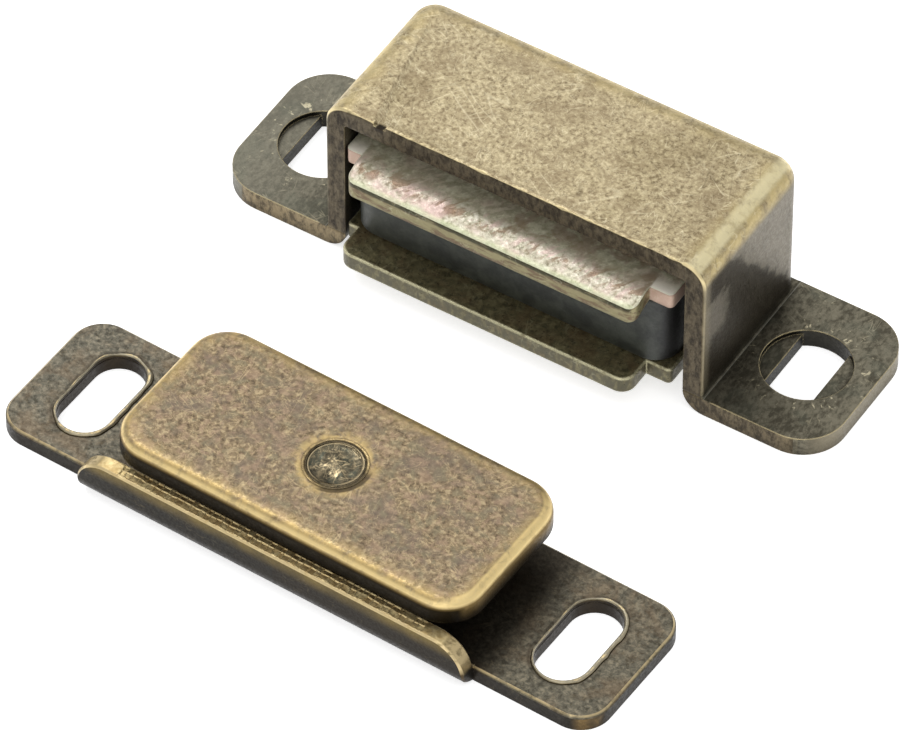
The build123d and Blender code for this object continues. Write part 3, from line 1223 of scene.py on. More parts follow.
@dataclass
class PolePlates:
    """The two stamped plates, the upper one iridescent and the lower one olive-brown."""

    upper_node: str = "upper_pole_plate"
    lower_node: str = "lower_pole_plate"
    upper: PlatedSteel = PlatedSteel(
        name="iridescent_plate",
        dark=display(148, 142, 118),
        middle=display(206, 200, 178),
        light=display(236, 230, 212),
        patch=display(224, 192, 186),
        edge=display(236, 238, 206),
        grain=0.42,
        patch_size=2.6,
        patch_share=0.75,
        edge_width=0.35,
        scratch_share=0.2,
        metallic=0.6,
        fibre_share=0.15,
    )
    streak: Color = display(140, 112, 88)
    # shade is a paler tone: painted light on the flat part that the roof shades.
    shade: Color = display(222, 218, 182)
    brushed: Color = display(152, 144, 112)
    rust: Color = display(156, 128, 106)
    border: Color = display(206, 212, 172)
    cut: Color = display(146, 138, 102)
    cut_brown: Color = display(116, 98, 74)
    cut_line: Color = display(62, 60, 38)
    pink: Color = display(188, 160, 142)
    lug_highlight: Color = display(250, 242, 226)
    # The streaks that run slantwise over the bend, by the distance behind the tongue's tip.
    slant: float = 38.0
    streaks: Clouds = Clouds(
        grain=0.75, detail=5.0, rough=0.62, warp=0.3, shift=3.0, stretch=(1.0, 3.4, 1.0)
    )
    streak_tones: Span = (0.5, 0.6)
    streak_share: float = 0.8
    pink_tones: Span = (0.46, 0.38)
    pink_share: float = 0.6
    bend_start: Span = (0.25, 1.2)
    bend_end: Span = (3.2, 2.0)
    # The flat part behind the bend: a paler tone painted as light where the roof shades it, brushed and a
    # little rusty.
    flat_start: Span = (1.2, 2.6)
    flat_metallic: float = 0.25
    painted_light_share: float = 0.5
    brushing: Clouds = Clouds(
        grain=0.5,
        detail=5.0,
        rough=0.66,
        warp=0.3,
        shift=101.0,
        stretch=(1.0, 2.0, 1.0),
        low=0.42,
        high=0.6,
    )
    brushing_share: float = 0.55
    rusting: Clouds = Clouds(grain=1.8, warp=0.6, shift=77.0, low=0.48, high=0.6)
    rust_side: Span = (-8.0, 2.0, 0.2, 0.55)
    # The tongue's pale border and its cut front, with a dark line where the die broke through.
    border_width: Span = (0.5, 0.15)
    border_share: float = 0.6
    smears: Clouds = Clouds(
        grain=0.5, rough=0.62, warp=0.3, shift=15.0, stretch=(3.0, 1.0, 0.8), low=0.45, high=0.62
    )
    tip_drop: float = 0.75
    line_height: Span = (-0.34, -0.16)
    line_breaks: Clouds = Clouds(
        grain=0.6,
        detail=3.0,
        warp=0.2,
        shift=21.0,
        stretch=(2.5, 1.0, 1.0),
        low=0.34,
        high=0.5,
        least=0.4,
        most=0.95,
    )
    line_depth: Span = (0.2, 0.05)
    # The lugs beside the tongue, with a painted highlight on their tops.
    tongue_middle: float = -0.7
    tongue_half: float = 11.8
    tongue_side: Span = (-0.1, 0.1)
    lug_front: float = 2.1
    lug_highlight_reach: Span = (3.8, 2.3)
    lug_facing: Span = (0.3, 0.7)
    edge_facing: Span = (0.1, 0.5)
    lower: PlatedSteel = PlatedSteel(
        name="olive_plate",
        dark=display(80, 75, 53),
        middle=display(110, 103, 74),
        light=display(136, 128, 95),
        patch=display(112, 91, 64),
        edge=display(206, 200, 164),
        rough=0.36,
        edge_width=0.2,
        metallic=0.6,
        fibre_share=0.15,
    )
    lower_cut: Color = display(84, 80, 62)
    lower_streaks: Clouds = Clouds(
        grain=0.3, rough=0.65, warp=0.2, shift=43.0, stretch=(1.0, 1.0, 2.5), low=0.36, high=0.6, least=0.3
    )

    def build(self) -> None:
        """Dresses both plates."""
        coat(self.upper_node, self.dress_upper())
        coat(self.lower_node, self.dress_lower())

    def dress_upper(self) -> bpy.types.Material:
        """Makes the upper plate's finish, streaked across its bend, and returns it."""
        low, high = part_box(self.upper_node)
        front = low[1] / MM
        graph = Graph(self.upper.name)
        behind_tip = graph.span(graph.y, *beyond(front, self.flat_start))
        color = self.dress_bend(graph, self.upper.mottle(graph), front)
        color = self.dress_flat(graph, color, behind_tip)
        border = graph.span(graph.y, *beyond(front, self.border_width))
        color = graph.mix(graph.times(border, self.border_share), color, self.border)
        cut = graph.steep()
        shorn = graph.mix(graph.patches(self.smears), self.cut, self.cut_brown)
        line = graph.times(
            graph.span(graph.z, *beyond(high[2] / MM - self.tip_drop, self.line_height)),
            graph.patches(self.line_breaks),
            graph.span(graph.y, *beyond(front, self.line_depth)),
        )
        color = graph.mix(cut, color, graph.mix(line, shorn, self.cut_line))
        from_middle = graph.size(graph.minus(graph.x, self.tongue_middle))
        aside = graph.span(graph.minus(from_middle, self.tongue_half), *self.tongue_side)
        lug_side = graph.times(aside, cut, graph.math(Op.MORE, graph.y, front + self.lug_front))
        color = graph.mix(lug_side, color, self.pink)
        # Painted highlight on the lugs' tops, which are also made non-metallic.
        lug_top_highlight = graph.times(
            aside,
            graph.span(graph.facing_z, *self.lug_facing),
            graph.span(graph.y, *beyond(front, self.lug_highlight_reach)),
        )
        color = graph.mix(lug_top_highlight, color, self.lug_highlight)
        edge, rounded = graph.edges(self.upper.edge_width)
        edge = graph.times(edge, graph.span(graph.facing_z, *self.edge_facing))
        color, worn = self.upper.wear(graph, color, edge)
        material = self.upper.finish(graph, color, worn, rounded)
        sheen = graph.blend_numbers(behind_tip, self.upper.metallic, self.flat_metallic)
        graph.feed(graph.shader.inputs["Metallic"], graph.times(sheen, graph.minus(1.0, lug_top_highlight)))
        return material

    def dress_bend(self, graph: Graph, color: Feed, front: float) -> bpy.types.NodeSocket:
        """Lays brown and pink streaks slantwise over the bend.

        Args:
            graph: The material being made.
            color: The colour so far.
            front: Where the tongue ends, in millimetres.

        Returns:
            The colour.
        """
        streak = graph.clouds(self.streaks, graph.turned(self.slant))
        bend = graph.times(
            graph.span(graph.y, *beyond(front, self.bend_start)),
            graph.span(graph.y, *beyond(front, self.bend_end)),
        )
        brown = graph.times(graph.span(streak, *self.streak_tones), bend, self.streak_share)
        color = graph.mix(brown, color, self.streak)
        pink = graph.times(graph.span(streak, *self.pink_tones), bend, self.pink_share)
        return graph.mix(pink, color, self.upper.patch)

    def dress_flat(self, graph: Graph, color: Feed, flat: Feed) -> bpy.types.NodeSocket:
        """Paints light on the flat part behind the bend, where the roof shades it, brushes it and lets it
        rust a little.

        Args:
            graph: The material being made.
            color: The colour so far.
            flat: The flat part's mask.

        Returns:
            The colour.
        """
        color = graph.mix(graph.times(flat, self.painted_light_share), color, self.shade)
        brushed = graph.patches(self.brushing, graph.turned(self.slant))
        color = graph.mix(graph.times(brushed, flat, self.brushing_share), color, self.brushed)
        rust = graph.times(flat, graph.patches(self.rusting), graph.span(graph.x, *self.rust_side))
        return graph.mix(rust, color, self.rust)

    def dress_lower(self) -> bpy.types.Material:
        """Makes the lower plate's finish, paler on its cut faces, and returns it."""
        graph = Graph(self.lower.name)
        color = self.lower.mottle(graph)
        cut = graph.times(graph.steep(), graph.patches(self.lower_streaks))
        color = graph.mix(cut, color, self.lower_cut)
        edge, rounded = graph.edges(self.lower.edge_width)
        color, worn = self.lower.wear(graph, color, graph.either(edge, graph.shoulder()))
        return self.lower.finish(graph, color, worn, rounded)


@dataclass
class Magnet:
    """The sintered ferrite block."""

    node: str = "magnet"
    dark: Color = display(30, 33, 29)
    light: Color = display(52, 55, 48)
    shaded: Color = display(12, 12, 11)
    pale: Color = display(96, 98, 90)
    chip: Color = display(112, 112, 106)
    tones: Clouds = Clouds(grain=1.2, detail=6.0, warp=0.2, low=0.35, high=0.65)
    pale_end: Span = (-4.0, -15.0, 0.0, 0.2)
    shaded_end: Span = (0.45, 0.8)
    chip_width: float = 0.3
    chip_share: float = 0.35
    grain: Clouds = Clouds(grain=0.25, detail=5.0, rough=0.7, shift=5.0)
    grain_tones: Span = (0.3, 0.7, 0.42, 0.58)
    relief: float = 0.02

    def build(self) -> None:
        """Makes the ferrite's finish and puts it on."""
        graph = Graph("sintered_ferrite")
        color = graph.mix(graph.patches(self.tones), self.dark, self.light)
        color = graph.mix(graph.span(graph.x, *self.pale_end), color, self.pale)
        color = graph.mix(graph.span(graph.facing_x, *self.shaded_end), color, self.shaded)
        edge, rounded = graph.edges(self.chip_width)
        color = graph.mix(graph.times(edge, self.chip_share), color, self.chip)
        fine = graph.clouds(self.grain)
        rough = graph.span(fine, *self.grain_tones)
        coat(self.node, graph.dress(color, rough, fine, self.relief, 0.0, rounded))


@dataclass
class Keeper:
    """The keeper's base, with rims punched up round its slots and two rows of small dints along its lip."""

    node: str = "keeper_base"
    turn: float = -2.2
    sheet: float = 1.3
    sheet_break: float = 0.2
    arris_wear: float = 0.06
    slots_middle: tuple[float, float] = (0.2, -0.15)
    slot_spacing: float = 40.0
    slot_radius: float = 2.0
    slot_straight: float = 3.9
    # The slots' rims: how far out and how high each ring of points lies, and how much both wander.
    rim: tuple[tuple[float, float], ...] = (
        (0.02, -0.25),
        (0.03, 0.08),
        (0.1, 0.17),
        (0.2, 0.18),
        (0.29, 0.08),
        (0.33, -0.1),
    )
    rim_reach: float = 0.34
    rim_wander: float = 0.45
    rim_waves: float = 1.3
    rim_shift: float = 7.0
    rim_layer: float = 0.6
    rim_lean: float = 0.4
    arc_steps: int = 18
    side_steps: int = 9
    # The dints: where their rows end and lie, how far apart they are, and how deep.
    dint_end: float = 0.9
    dint_pitch: float = 0.48
    dint_wander: float = 0.7
    dint_rows: tuple[float, ...] = (0.0, 0.56)
    dint_margin: float = 0.06
    dint_jitter: float = 0.09
    dint_depths: tuple[float, ...] = (0.03, 0.045, 0.06, 0.075, 0.09)
    dint_wall: float = 0.07
    dint_waves: Triple = (3.1, 4.7, 0.4)
    dint_spread: float = 0.9
    step_waves: Triple = (1.7, 0.5, 0.2)
    wide_waves: Triple = (5.3, 6.1, 1.4)
    deep_waves: Triple = (6.7, 5.9, 4.4)
    jitter_stretch: float = 1.5
    flat_facing: float = 0.999
    flat_depth: float = 0.01
    finish: PlatedSteel = PlatedSteel(
        name="dark_keeper_plate",
        dark=display(74, 71, 61),
        middle=display(103, 99, 87),
        light=display(134, 127, 110),
        patch=display(122, 101, 78),
        edge=display(222, 200, 152),
        grain=0.36,
        patch_size=3.0,
        patch_share=0.4,
        edge_width=0.1,
        scratch_share=0.05,
        fibre_share=0.06,
    )
    gold: Color = display(246, 224, 168)
    dull_gold: Color = display(214, 186, 130)
    dint: Color = display(168, 142, 98)
    olive: Color = display(106, 90, 50)
    rim_color: Color = display(168, 160, 138)
    wall: Color = display(40, 33, 25)
    side: Color = display(17, 15, 12)
    corner: Color = display(150, 122, 74)
    shade: Color = display(38, 32, 24)
    dim: Color = display(242, 241, 238)
    # The dark sides, and the brass that shows at the corner on the right.
    side_share: float = 0.92
    corner_right: Span = (0.2, 0.6)
    corner_front: Span = (-0.2, -0.6)
    corner_clouds: Clouds = Clouds(grain=0.9, warp=0.3, shift=35.0, low=0.34, high=0.6, least=0.4)
    corner_share: float = 0.85
    # The dim right end, and painted shade in the hollows and painted shadow beside the strike's right end.
    dim_end: Span = (14.0, 17.0)
    painted_shadow_end: Span = (18.6, 15.0)
    painted_shade_reach: float = 4.5
    painted_shade_share: float = 0.85
    # The lip: olive below its top and gold on it.
    olive_height: Span = (-1.4, -0.2)
    olive_clouds: Clouds = Clouds(grain=2.0, detail=3.0, rough=0.5, low=0.35, high=0.65, least=0.6)
    gold_height: Span = (-0.2, -0.1)
    gold_clouds: Clouds = Clouds(grain=0.7, rough=0.62, warp=0.3, shift=39.0, low=0.38, high=0.62)
    gold_share: float = 0.9
    # The rubbed edges, dark in the crease.
    crease_reach: float = 1.6
    open_crease: Span = (0.5, 0.15)
    break_heights: tuple[float, float] = (0.85, 0.3)
    edge_share: float = 0.85
    lip_height: float = 1.0
    # The dints' dark floors, which fade out towards the rows' ends.
    floor_clouds: Clouds = Clouds(
        grain=0.5, detail=3.0, warp=0.2, shift=53.0, low=0.3, high=0.6, least=0.3, most=0.9
    )
    floor_shares: Triple = (0.4, 0.95, 1.2)
    floor_facing: float = 0.9
    floor_start: Span = (0.2, 1.6)
    floor_end: Span = (-0.2, -1.6)
    # The slots' walls, the line at the foot of their rims, and the rims with their crests.
    slot_margin: float = 0.1
    slot_share: float = 0.9
    foot_inner: Span = (-0.12, -0.02)
    foot_outer: Span = (0.2, 0.06)
    foot_height: float = 0.08
    foot_share: float = 0.4
    rim_height: Span = (0.04, 0.12)
    rim_margin: float = 0.3
    rim_top: float = 0.6
    rim_facing: Span = (-0.1, 0.2)
    rim_share: float = 0.9
    crest_height: Span = (0.14, 0.2)
    crest_clouds: Clouds = Clouds(grain=0.4, warp=0.3, shift=33.0, low=0.4, high=0.6)

    def build(self, pivot: Vector) -> None:
        """Presses the dints into the lip, raises the slots' rims and dresses the base.

        Args:
            pivot: Where the rivet's axis stands, in metres.
        """
        self.pivot = Vector((pivot.x, pivot.y, 0))
        self.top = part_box(self.node)[1][2] / MM
        self.along = Vector((cos(radians(self.turn)), sin(radians(self.turn)), 0))
        self.across = Vector((-self.along.y, self.along.x, 0))
        remade = Remade(self.node)
        self.press_dints(remade)
        for side in (-1, 1):
            self.raise_rim(remade, side)
        piece = remade.place("worn_keeper", "root", "keeper_steel", self.arris_wear)
        piece.data.materials.append(self.dress())

    def press_dints(self, remade: Remade) -> None:
        """Divides the lip's flat top into cells and sinks most of them.

        Args:
            remade: The keeper's base in mesh code.
        """

        def on_lip(face: bmesh.types.BMFace) -> bool:
            """Says whether a face is part of the lip's flat top."""
            height = face.calc_center_median().z
            return face.normal.z > self.flat_facing and height > (self.top - self.flat_depth) * MM

        strip = [v.co - self.pivot for face in remade.faces(on_lip) for v in face.verts]
        start, end = (pick(v.dot(self.along) for v in strip) / MM for pick in (min, max))
        inner, outer = (pick(v.dot(self.across) for v in strip) / MM for pick in (max, min))
        start, end, outer = start + self.dint_end, end - self.dint_end, outer + self.dint_margin
        self.dinted = (start, end)
        count = round((end - start) / self.dint_pitch)
        for step in range(count + 1):
            wander = self.dint_wander * uneven(step, 1.0, self.step_waves)
            at = start + (end - start) * (step + wander) / count
            remade.slice(on_lip, self.pivot + self.along * at * MM, self.along)
        for share in self.dint_rows:
            at = outer + (inner - outer) * share
            remade.slice(on_lip, self.pivot + self.across * at * MM, self.across)
        self.jostle(remade, on_lip, inner)
        groups = {depth: [] for depth in self.dint_depths}
        for cell in remade.faces(on_lip):
            place = (cell.calc_center_median() - self.pivot) / MM
            if start < place.dot(self.along) < end and place.dot(self.across) > outer - self.dint_jitter / 2:
                pick = 0.5 + self.dint_spread * uneven(place.x, place.y, self.dint_waves)
                step = min(max(int(pick * len(self.dint_depths)), 0), len(self.dint_depths) - 1)
                groups[self.dint_depths[step]].append(cell)
        for depth, cells in groups.items():
            bmesh.ops.inset_individual(
                remade.mesh,
                faces=cells,
                thickness=self.dint_wall * MM,
                depth=-depth * MM,
                use_even_offset=True,
            )

    def jostle(self, remade: Remade, on_lip: Callable[[bmesh.types.BMFace], bool], inner: float) -> None:
        """Moves the corners of the cells about, so that no two are alike.

        Args:
            remade: The keeper's base in mesh code.
            on_lip: Says whether a face is part of the lip's flat top.
            inner: The place of the flat's inner edge, in millimetres.
        """
        cells = set(remade.faces(on_lip))
        corners = {v for cell in cells for v in cell.verts if all(f in cells for f in v.link_faces)}
        for corner in sorted(corners, key=lambda v: ((v.co - self.pivot).dot(self.along), v.co.y)):
            place = (corner.co - self.pivot) / MM
            wide = self.along * uneven(place.x, place.y, self.wide_waves) * self.jitter_stretch
            room = min(1.0, (inner - place.dot(self.across)) / self.dint_jitter)
            deep = self.across * uneven(place.x, place.y, self.deep_waves) * room
            corner.co += (wide + deep) * self.dint_jitter * MM

    def raise_rim(self, remade: Remade, side: int) -> None:
        """Adds the rim that the punch raised round a slot.

        Args:
            remade: The keeper's base in mesh code.
            side: -1 for the left slot and 1 for the right one.
        """
        middle = self.slots_middle[0] + side * self.slot_spacing / 2
        outline = self.slot_outline()
        rings = []
        for out, up in self.rim:
            ring = []
            for x, y, normal_x, normal_y in outline:
                spot = (x * self.rim_waves + side * self.rim_shift, y * self.rim_waves, self.rim_layer)
                wander = 1 + self.rim_wander * noise.noise(Vector(spot))
                reach = out * wander * (1 + self.rim_lean * normal_x)
                place = self.along * (middle + x + normal_x * reach)
                place += self.across * (self.slots_middle[1] + y + normal_y * reach)
                place.z = self.sheet + up * wander
                ring.append(remade.mesh.verts.new(self.pivot + place * MM))
            rings.append(ring)
        for index, ring in enumerate(rings):
            inner = rings[index - 1]
            for step, point in enumerate(ring):
                after = (step + 1) % len(ring)
                remade.mesh.faces.new((inner[step], inner[after], ring[after], point))

    def slot_outline(self) -> list[tuple[float, float, float, float]]:
        """Walks round a slot and returns each point and the outward direction there."""
        points = []
        for end, start in ((1, 0.0), (-1, 180.0)):
            for step in range(self.arc_steps + 1):
                bearing = radians(start + 180 * step / self.arc_steps)
                out = (cos(bearing), sin(bearing))
                spine = end * self.slot_straight / 2
                points.append((out[0] * self.slot_radius, out[1] * self.slot_radius + spine, *out))
            for step in range(1, self.side_steps):
                share = step / self.side_steps
                spine = end * self.slot_straight * (0.5 - share)
                points.append((-end * self.slot_radius, spine, -end, 0.0))
        return points

    def dress(self) -> bpy.types.Material:
        """Makes the base's finish and returns it."""
        graph = Graph(self.finish.name, self.pivot, self.turn)
        color = self.finish.mottle(graph)
        side = graph.upright()
        color = graph.mix(graph.times(side, self.side_share), color, self.side)
        corner = graph.times(
            graph.span(graph.facing_x, *self.corner_right), graph.span(graph.facing_y, *self.corner_front)
        )
        corner = graph.times(corner, side, graph.patches(self.corner_clouds), self.corner_share)
        color = graph.mix(corner, color, self.corner)
        color = graph.mix(graph.span(graph.x, *self.dim_end), color, self.dim, "MULTIPLY")
        # Painted shadow to the right of the strike, and painted shade in the hollows round it.
        beside = graph.times(graph.span(graph.x, *self.painted_shadow_end), graph.math(Op.MORE, graph.x, 0.0))
        shade = graph.either(graph.hollows(self.painted_shade_reach), beside)
        color = graph.mix(graph.times(shade, self.painted_shade_share), color, self.shade)
        color = self.dress_lip(graph, color)
        _, rounded = graph.edges(self.finish.edge_width)
        color, worn = self.finish.wear(graph, color, self.rubbed_edges(graph))
        color = self.dress_slots(graph, color)
        color = graph.mix(self.dint_floors(graph), color, self.dint)
        return self.finish.finish(graph, color, worn, rounded)

    def dress_lip(self, graph: Graph, color: Feed) -> bpy.types.NodeSocket:
        """Tinges the lip olive and rubs its top gold.

        Args:
            graph: The material being made.
            color: The colour so far.

        Returns:
            The colour.
        """
        tinge = graph.times(
            graph.span(graph.z, *beyond(self.top, self.olive_height)), graph.patches(self.olive_clouds)
        )
        color = graph.mix(tinge, color, self.olive)
        on_lip = graph.span(graph.z, *beyond(self.top, self.gold_height))
        rubbed = graph.mix(graph.patches(self.gold_clouds), self.dull_gold, self.gold)
        return graph.mix(graph.times(on_lip, self.gold_share), color, rubbed)

    def rubbed_edges(self, graph: Graph) -> bpy.types.NodeSocket:
        """Marks the upper edges of the base and the lip, except in the crease."""
        low, high = (self.sheet - self.sheet_break * share for share in self.break_heights)
        raised = graph.math(Op.MORE, graph.z, self.top - self.lip_height)
        height = graph.either(graph.times(graph.span(graph.z, low, high), self.edge_share), raised)
        crease = graph.hollows(self.crease_reach)
        return graph.times(graph.times(graph.shoulder(), height), graph.span(crease, *self.open_crease))

    def dint_floors(self, graph: Graph) -> bpy.types.NodeSocket:
        """Marks the floors of the dints."""
        shallow, deep = self.dint_depths[0], self.dint_depths[-1]
        begin, full, lowest = self.floor_shares
        start, end = self.dinted
        return graph.times(
            graph.span(graph.z, self.top - shallow * begin, self.top - deep * full),
            graph.math(Op.MORE, graph.z, self.top - deep * lowest),
            graph.math(Op.MORE, graph.facing_z, self.floor_facing),
            graph.patches(self.floor_clouds),
            graph.span(graph.x, *beyond(start, self.floor_start)),
            graph.span(graph.x, *beyond(end, self.floor_end)),
        )

    def dress_slots(self, graph: Graph, color: Feed) -> bpy.types.NodeSocket:
        """Pales the slots' rims and darkens their walls and the line round them.

        Args:
            graph: The material being made.
            color: The colour so far.

        Returns:
            The colour.
        """
        away = graph.from_slots(self.slots_middle, self.slot_spacing, self.slot_straight)
        away = graph.minus(away, self.slot_radius)
        wall = graph.times(graph.math(Op.LESS, away, self.slot_margin), graph.upright(), self.slot_share)
        color = graph.mix(wall, color, self.wall)
        foot = graph.times(
            graph.span(away, *beyond(self.rim_reach, self.foot_inner)),
            graph.span(away, *beyond(self.rim_reach, self.foot_outer)),
            graph.math(Op.LESS, graph.z, self.sheet + self.foot_height),
            self.foot_share,
        )
        color = graph.mix(foot, color, self.wall)
        rim = graph.times(
            graph.span(graph.z, *beyond(self.sheet, self.rim_height)),
            graph.math(Op.LESS, away, self.rim_reach + self.rim_margin),
            graph.math(Op.LESS, graph.z, self.sheet + self.rim_top),
            graph.span(graph.facing_z, *self.rim_facing),
        )
        color = graph.mix(graph.times(rim, self.rim_share), color, self.rim_color)
        crest = graph.times(rim, graph.span(graph.z, *beyond(self.sheet, self.crest_height)))
        return graph.mix(graph.times(crest, graph.patches(self.crest_clouds)), color, self.finish.edge)


@dataclass
class Strike:
    """The strike plate, golden on its rounded rim and round the rivet."""

    node: str = "strike_plate"
    turn: float = -2.2
    half_length: float = 14.8
    half_width: float = 6.8
    corner: float = 3.0
    rounding: float = 0.9
    thickness: float = 2.1
    finish: PlatedSteel = PlatedSteel(
        name="golden_strike_plate",
        dark=display(98, 84, 66),
        middle=display(134, 117, 92),
        light=display(172, 154, 122),
        patch=display(116, 103, 91),
        edge=display(226, 203, 156),
        rough=0.4,
        grain=0.36,
        patch_share=0.7,
        scratch_share=0.3,
        fibre_share=0.24,
    )
    rosy: Color = display(158, 134, 112)
    drab: Color = display(124, 118, 96)
    stain: Color = display(112, 100, 88)
    gold: Color = display(204, 177, 118)
    bright: Color = display(244, 218, 156)
    grime_and_painted_shade: Color = display(66, 56, 42)
    under: Color = display(118, 98, 60)
    low_wall_shade: Color = display(46, 37, 22)
    front_wall_shade: Color = display(10, 8, 5)
    # The top's hues and stains.
    hues: Clouds = Clouds(grain=1.0, rough=0.62, warp=0.4, shift=49.0)
    rosy_tones: Span = (0.52, 0.62, 0.0, 0.5)
    drab_tones: Span = (0.48, 0.38, 0.0, 0.5)
    stains: Clouds = Clouds(
        grain=1.3, detail=5.0, rough=0.62, warp=0.7, shift=47.0, low=0.5, high=0.68, most=0.5
    )
    # The gold of the rim and round the rivet, a painted highlight (glint) on the rounding, and a painted
    # highlight on the right side.
    gold_clouds: Clouds = Clouds(grain=1.1, detail=5.0, rough=0.62, warp=0.5, shift=23.0)
    gold_share: float = 0.85
    rim_width: Span = (1.9, 0.5)
    rim_tones: Span = (0.34, 0.6, 0.25, 1.0)
    rim_facing: Span = (0.999, 0.95, 0.5, 1.0)
    halo: Span = (3.5, 2.45)
    halo_tones: Span = (0.36, 0.6)
    halo_share: float = 0.75
    glint_upper: Span = (0.88, 0.68)
    glint_lower: Span = (0.44, 0.58)
    glint_tones: Span = (0.3, 0.5, 0.55, 1.0)
    glint_share: float = 0.9
    right_highlight_facing: Span = (0.1, 0.35)
    right_highlight_tones: Span = (0.3, 0.55, 0.4, 0.85)
    # Painted shade on the walls under the rounding: darker towards their foot and darkest in front.
    wall_facing: Span = (0.3, 0.58)
    low_start: float = 0.8
    low_margin: float = 0.3
    front_facing: Span = (-0.45, -0.7)
    front_height: Span = (-0.42, -0.8)
    front_share: float = 0.95
    front_gloss: Span = (0.0, 0.7, 0.5, 0.0)
    # The grime in the rivet's recess, and painted shade beside it on the lower right.
    recess: float = 2.5
    recess_height: Span = (-0.02, -0.1)
    recess_share: float = 0.8
    painted_shade_side: float = -36.0
    painted_shade_reach: Span = (2.75, 2.6)
    painted_shade_share: float = 0.85

    def build(self, pivot: Vector) -> None:
        """Makes the strike's finish and puts it on.

        Args:
            pivot: Where the rivet's axis stands, in metres.
        """
        self.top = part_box(self.node)[1][2] / MM
        graph = Graph(self.finish.name, Vector((pivot.x, pivot.y, 0)), self.turn)
        color = self.finish.mottle(graph)
        hue = graph.clouds(self.hues)
        color = graph.mix(graph.span(hue, *self.rosy_tones), color, self.rosy)
        color = graph.mix(graph.span(hue, *self.drab_tones), color, self.drab)
        color = graph.mix(graph.patches(self.stains), color, self.stain)
        away = graph.from_middle()
        color = self.gild(graph, color, away)
        color, worn = self.finish.wear(graph, color, 0.0)
        front = graph.times(
            graph.span(graph.facing_y, *self.front_facing),
            graph.span(graph.z, *beyond(self.top, self.front_height)),
        )
        color = graph.mix(
            graph.span(graph.facing_z, *self.wall_facing), self.dress_walls(graph, front), color
        )
        recess = graph.times(
            graph.math(Op.LESS, away, self.recess),
            graph.span(graph.z, *beyond(self.top, self.recess_height)),
            self.recess_share,
        )
        color = graph.mix(recess, color, self.grime_and_painted_shade)
        # Painted shade: a dark crescent beside the rivet on its lower right.
        painted_shade = graph.times(
            graph.span(away, *self.painted_shade_reach), graph.toward(self.painted_shade_side), self.painted_shade_share
        )
        color = graph.mix(painted_shade, color, self.grime_and_painted_shade)
        _, rounded = graph.edges(self.finish.edge_width)
        material = self.finish.finish(graph, color, worn, rounded)
        # The front wall's reflection is turned down along with its painted shade.
        graph.feed(graph.shader.inputs["Specular IOR Level"], graph.span(front, *self.front_gloss))
        coat(self.node, material)

    def gild(self, graph: Graph, color: Feed, away: Feed) -> bpy.types.NodeSocket:
        """Lays the gold on the rim and round the rivet, and paints highlights on the rounding and the right
        side.

        Args:
            graph: The material being made.
            color: The colour so far.
            away: The distance from the rivet's axis, in millimetres.

        Returns:
            The colour.
        """
        inside = graph.inset(self.half_length, self.half_width, self.corner)
        cloud = graph.clouds(self.gold_clouds)
        rim = graph.times(
            graph.span(inside, *self.rim_width),
            graph.span(cloud, *self.rim_tones),
            graph.span(graph.facing_z, *self.rim_facing),
        )
        halo = graph.times(
            graph.span(away, *self.halo), graph.span(cloud, *self.halo_tones), self.halo_share
        )
        color = graph.mix(graph.times(graph.either(rim, halo), self.gold_share), color, self.gold)
        # Painted highlight along the rim's rounding.
        glint = graph.times(
            graph.span(graph.facing_z, *self.glint_upper),
            graph.span(graph.facing_z, *self.glint_lower),
            graph.span(cloud, *self.glint_tones),
            self.glint_share,
        )
        color = graph.mix(glint, color, self.bright)
        # Painted highlight on the surfaces that face right.
        right = graph.times(
            graph.span(graph.facing_x, *self.right_highlight_facing), graph.span(cloud, *self.right_highlight_tones)
        )
        return graph.mix(right, color, self.bright)

    def dress_walls(self, graph: Graph, front: Feed) -> bpy.types.NodeSocket:
        """Paints shade on the walls, darker towards their foot and darkest in front.

        Args:
            graph: The material being made.
            front: The front wall's mask.

        Returns:
            The walls' colour.
        """
        low = graph.span(
            graph.z, self.top - self.rounding * self.low_start, self.top - self.thickness + self.low_margin
        )
        wall = graph.mix(low, self.under, self.low_wall_shade)
        return graph.mix(graph.times(front, self.front_share), wall, self.front_wall_shade)


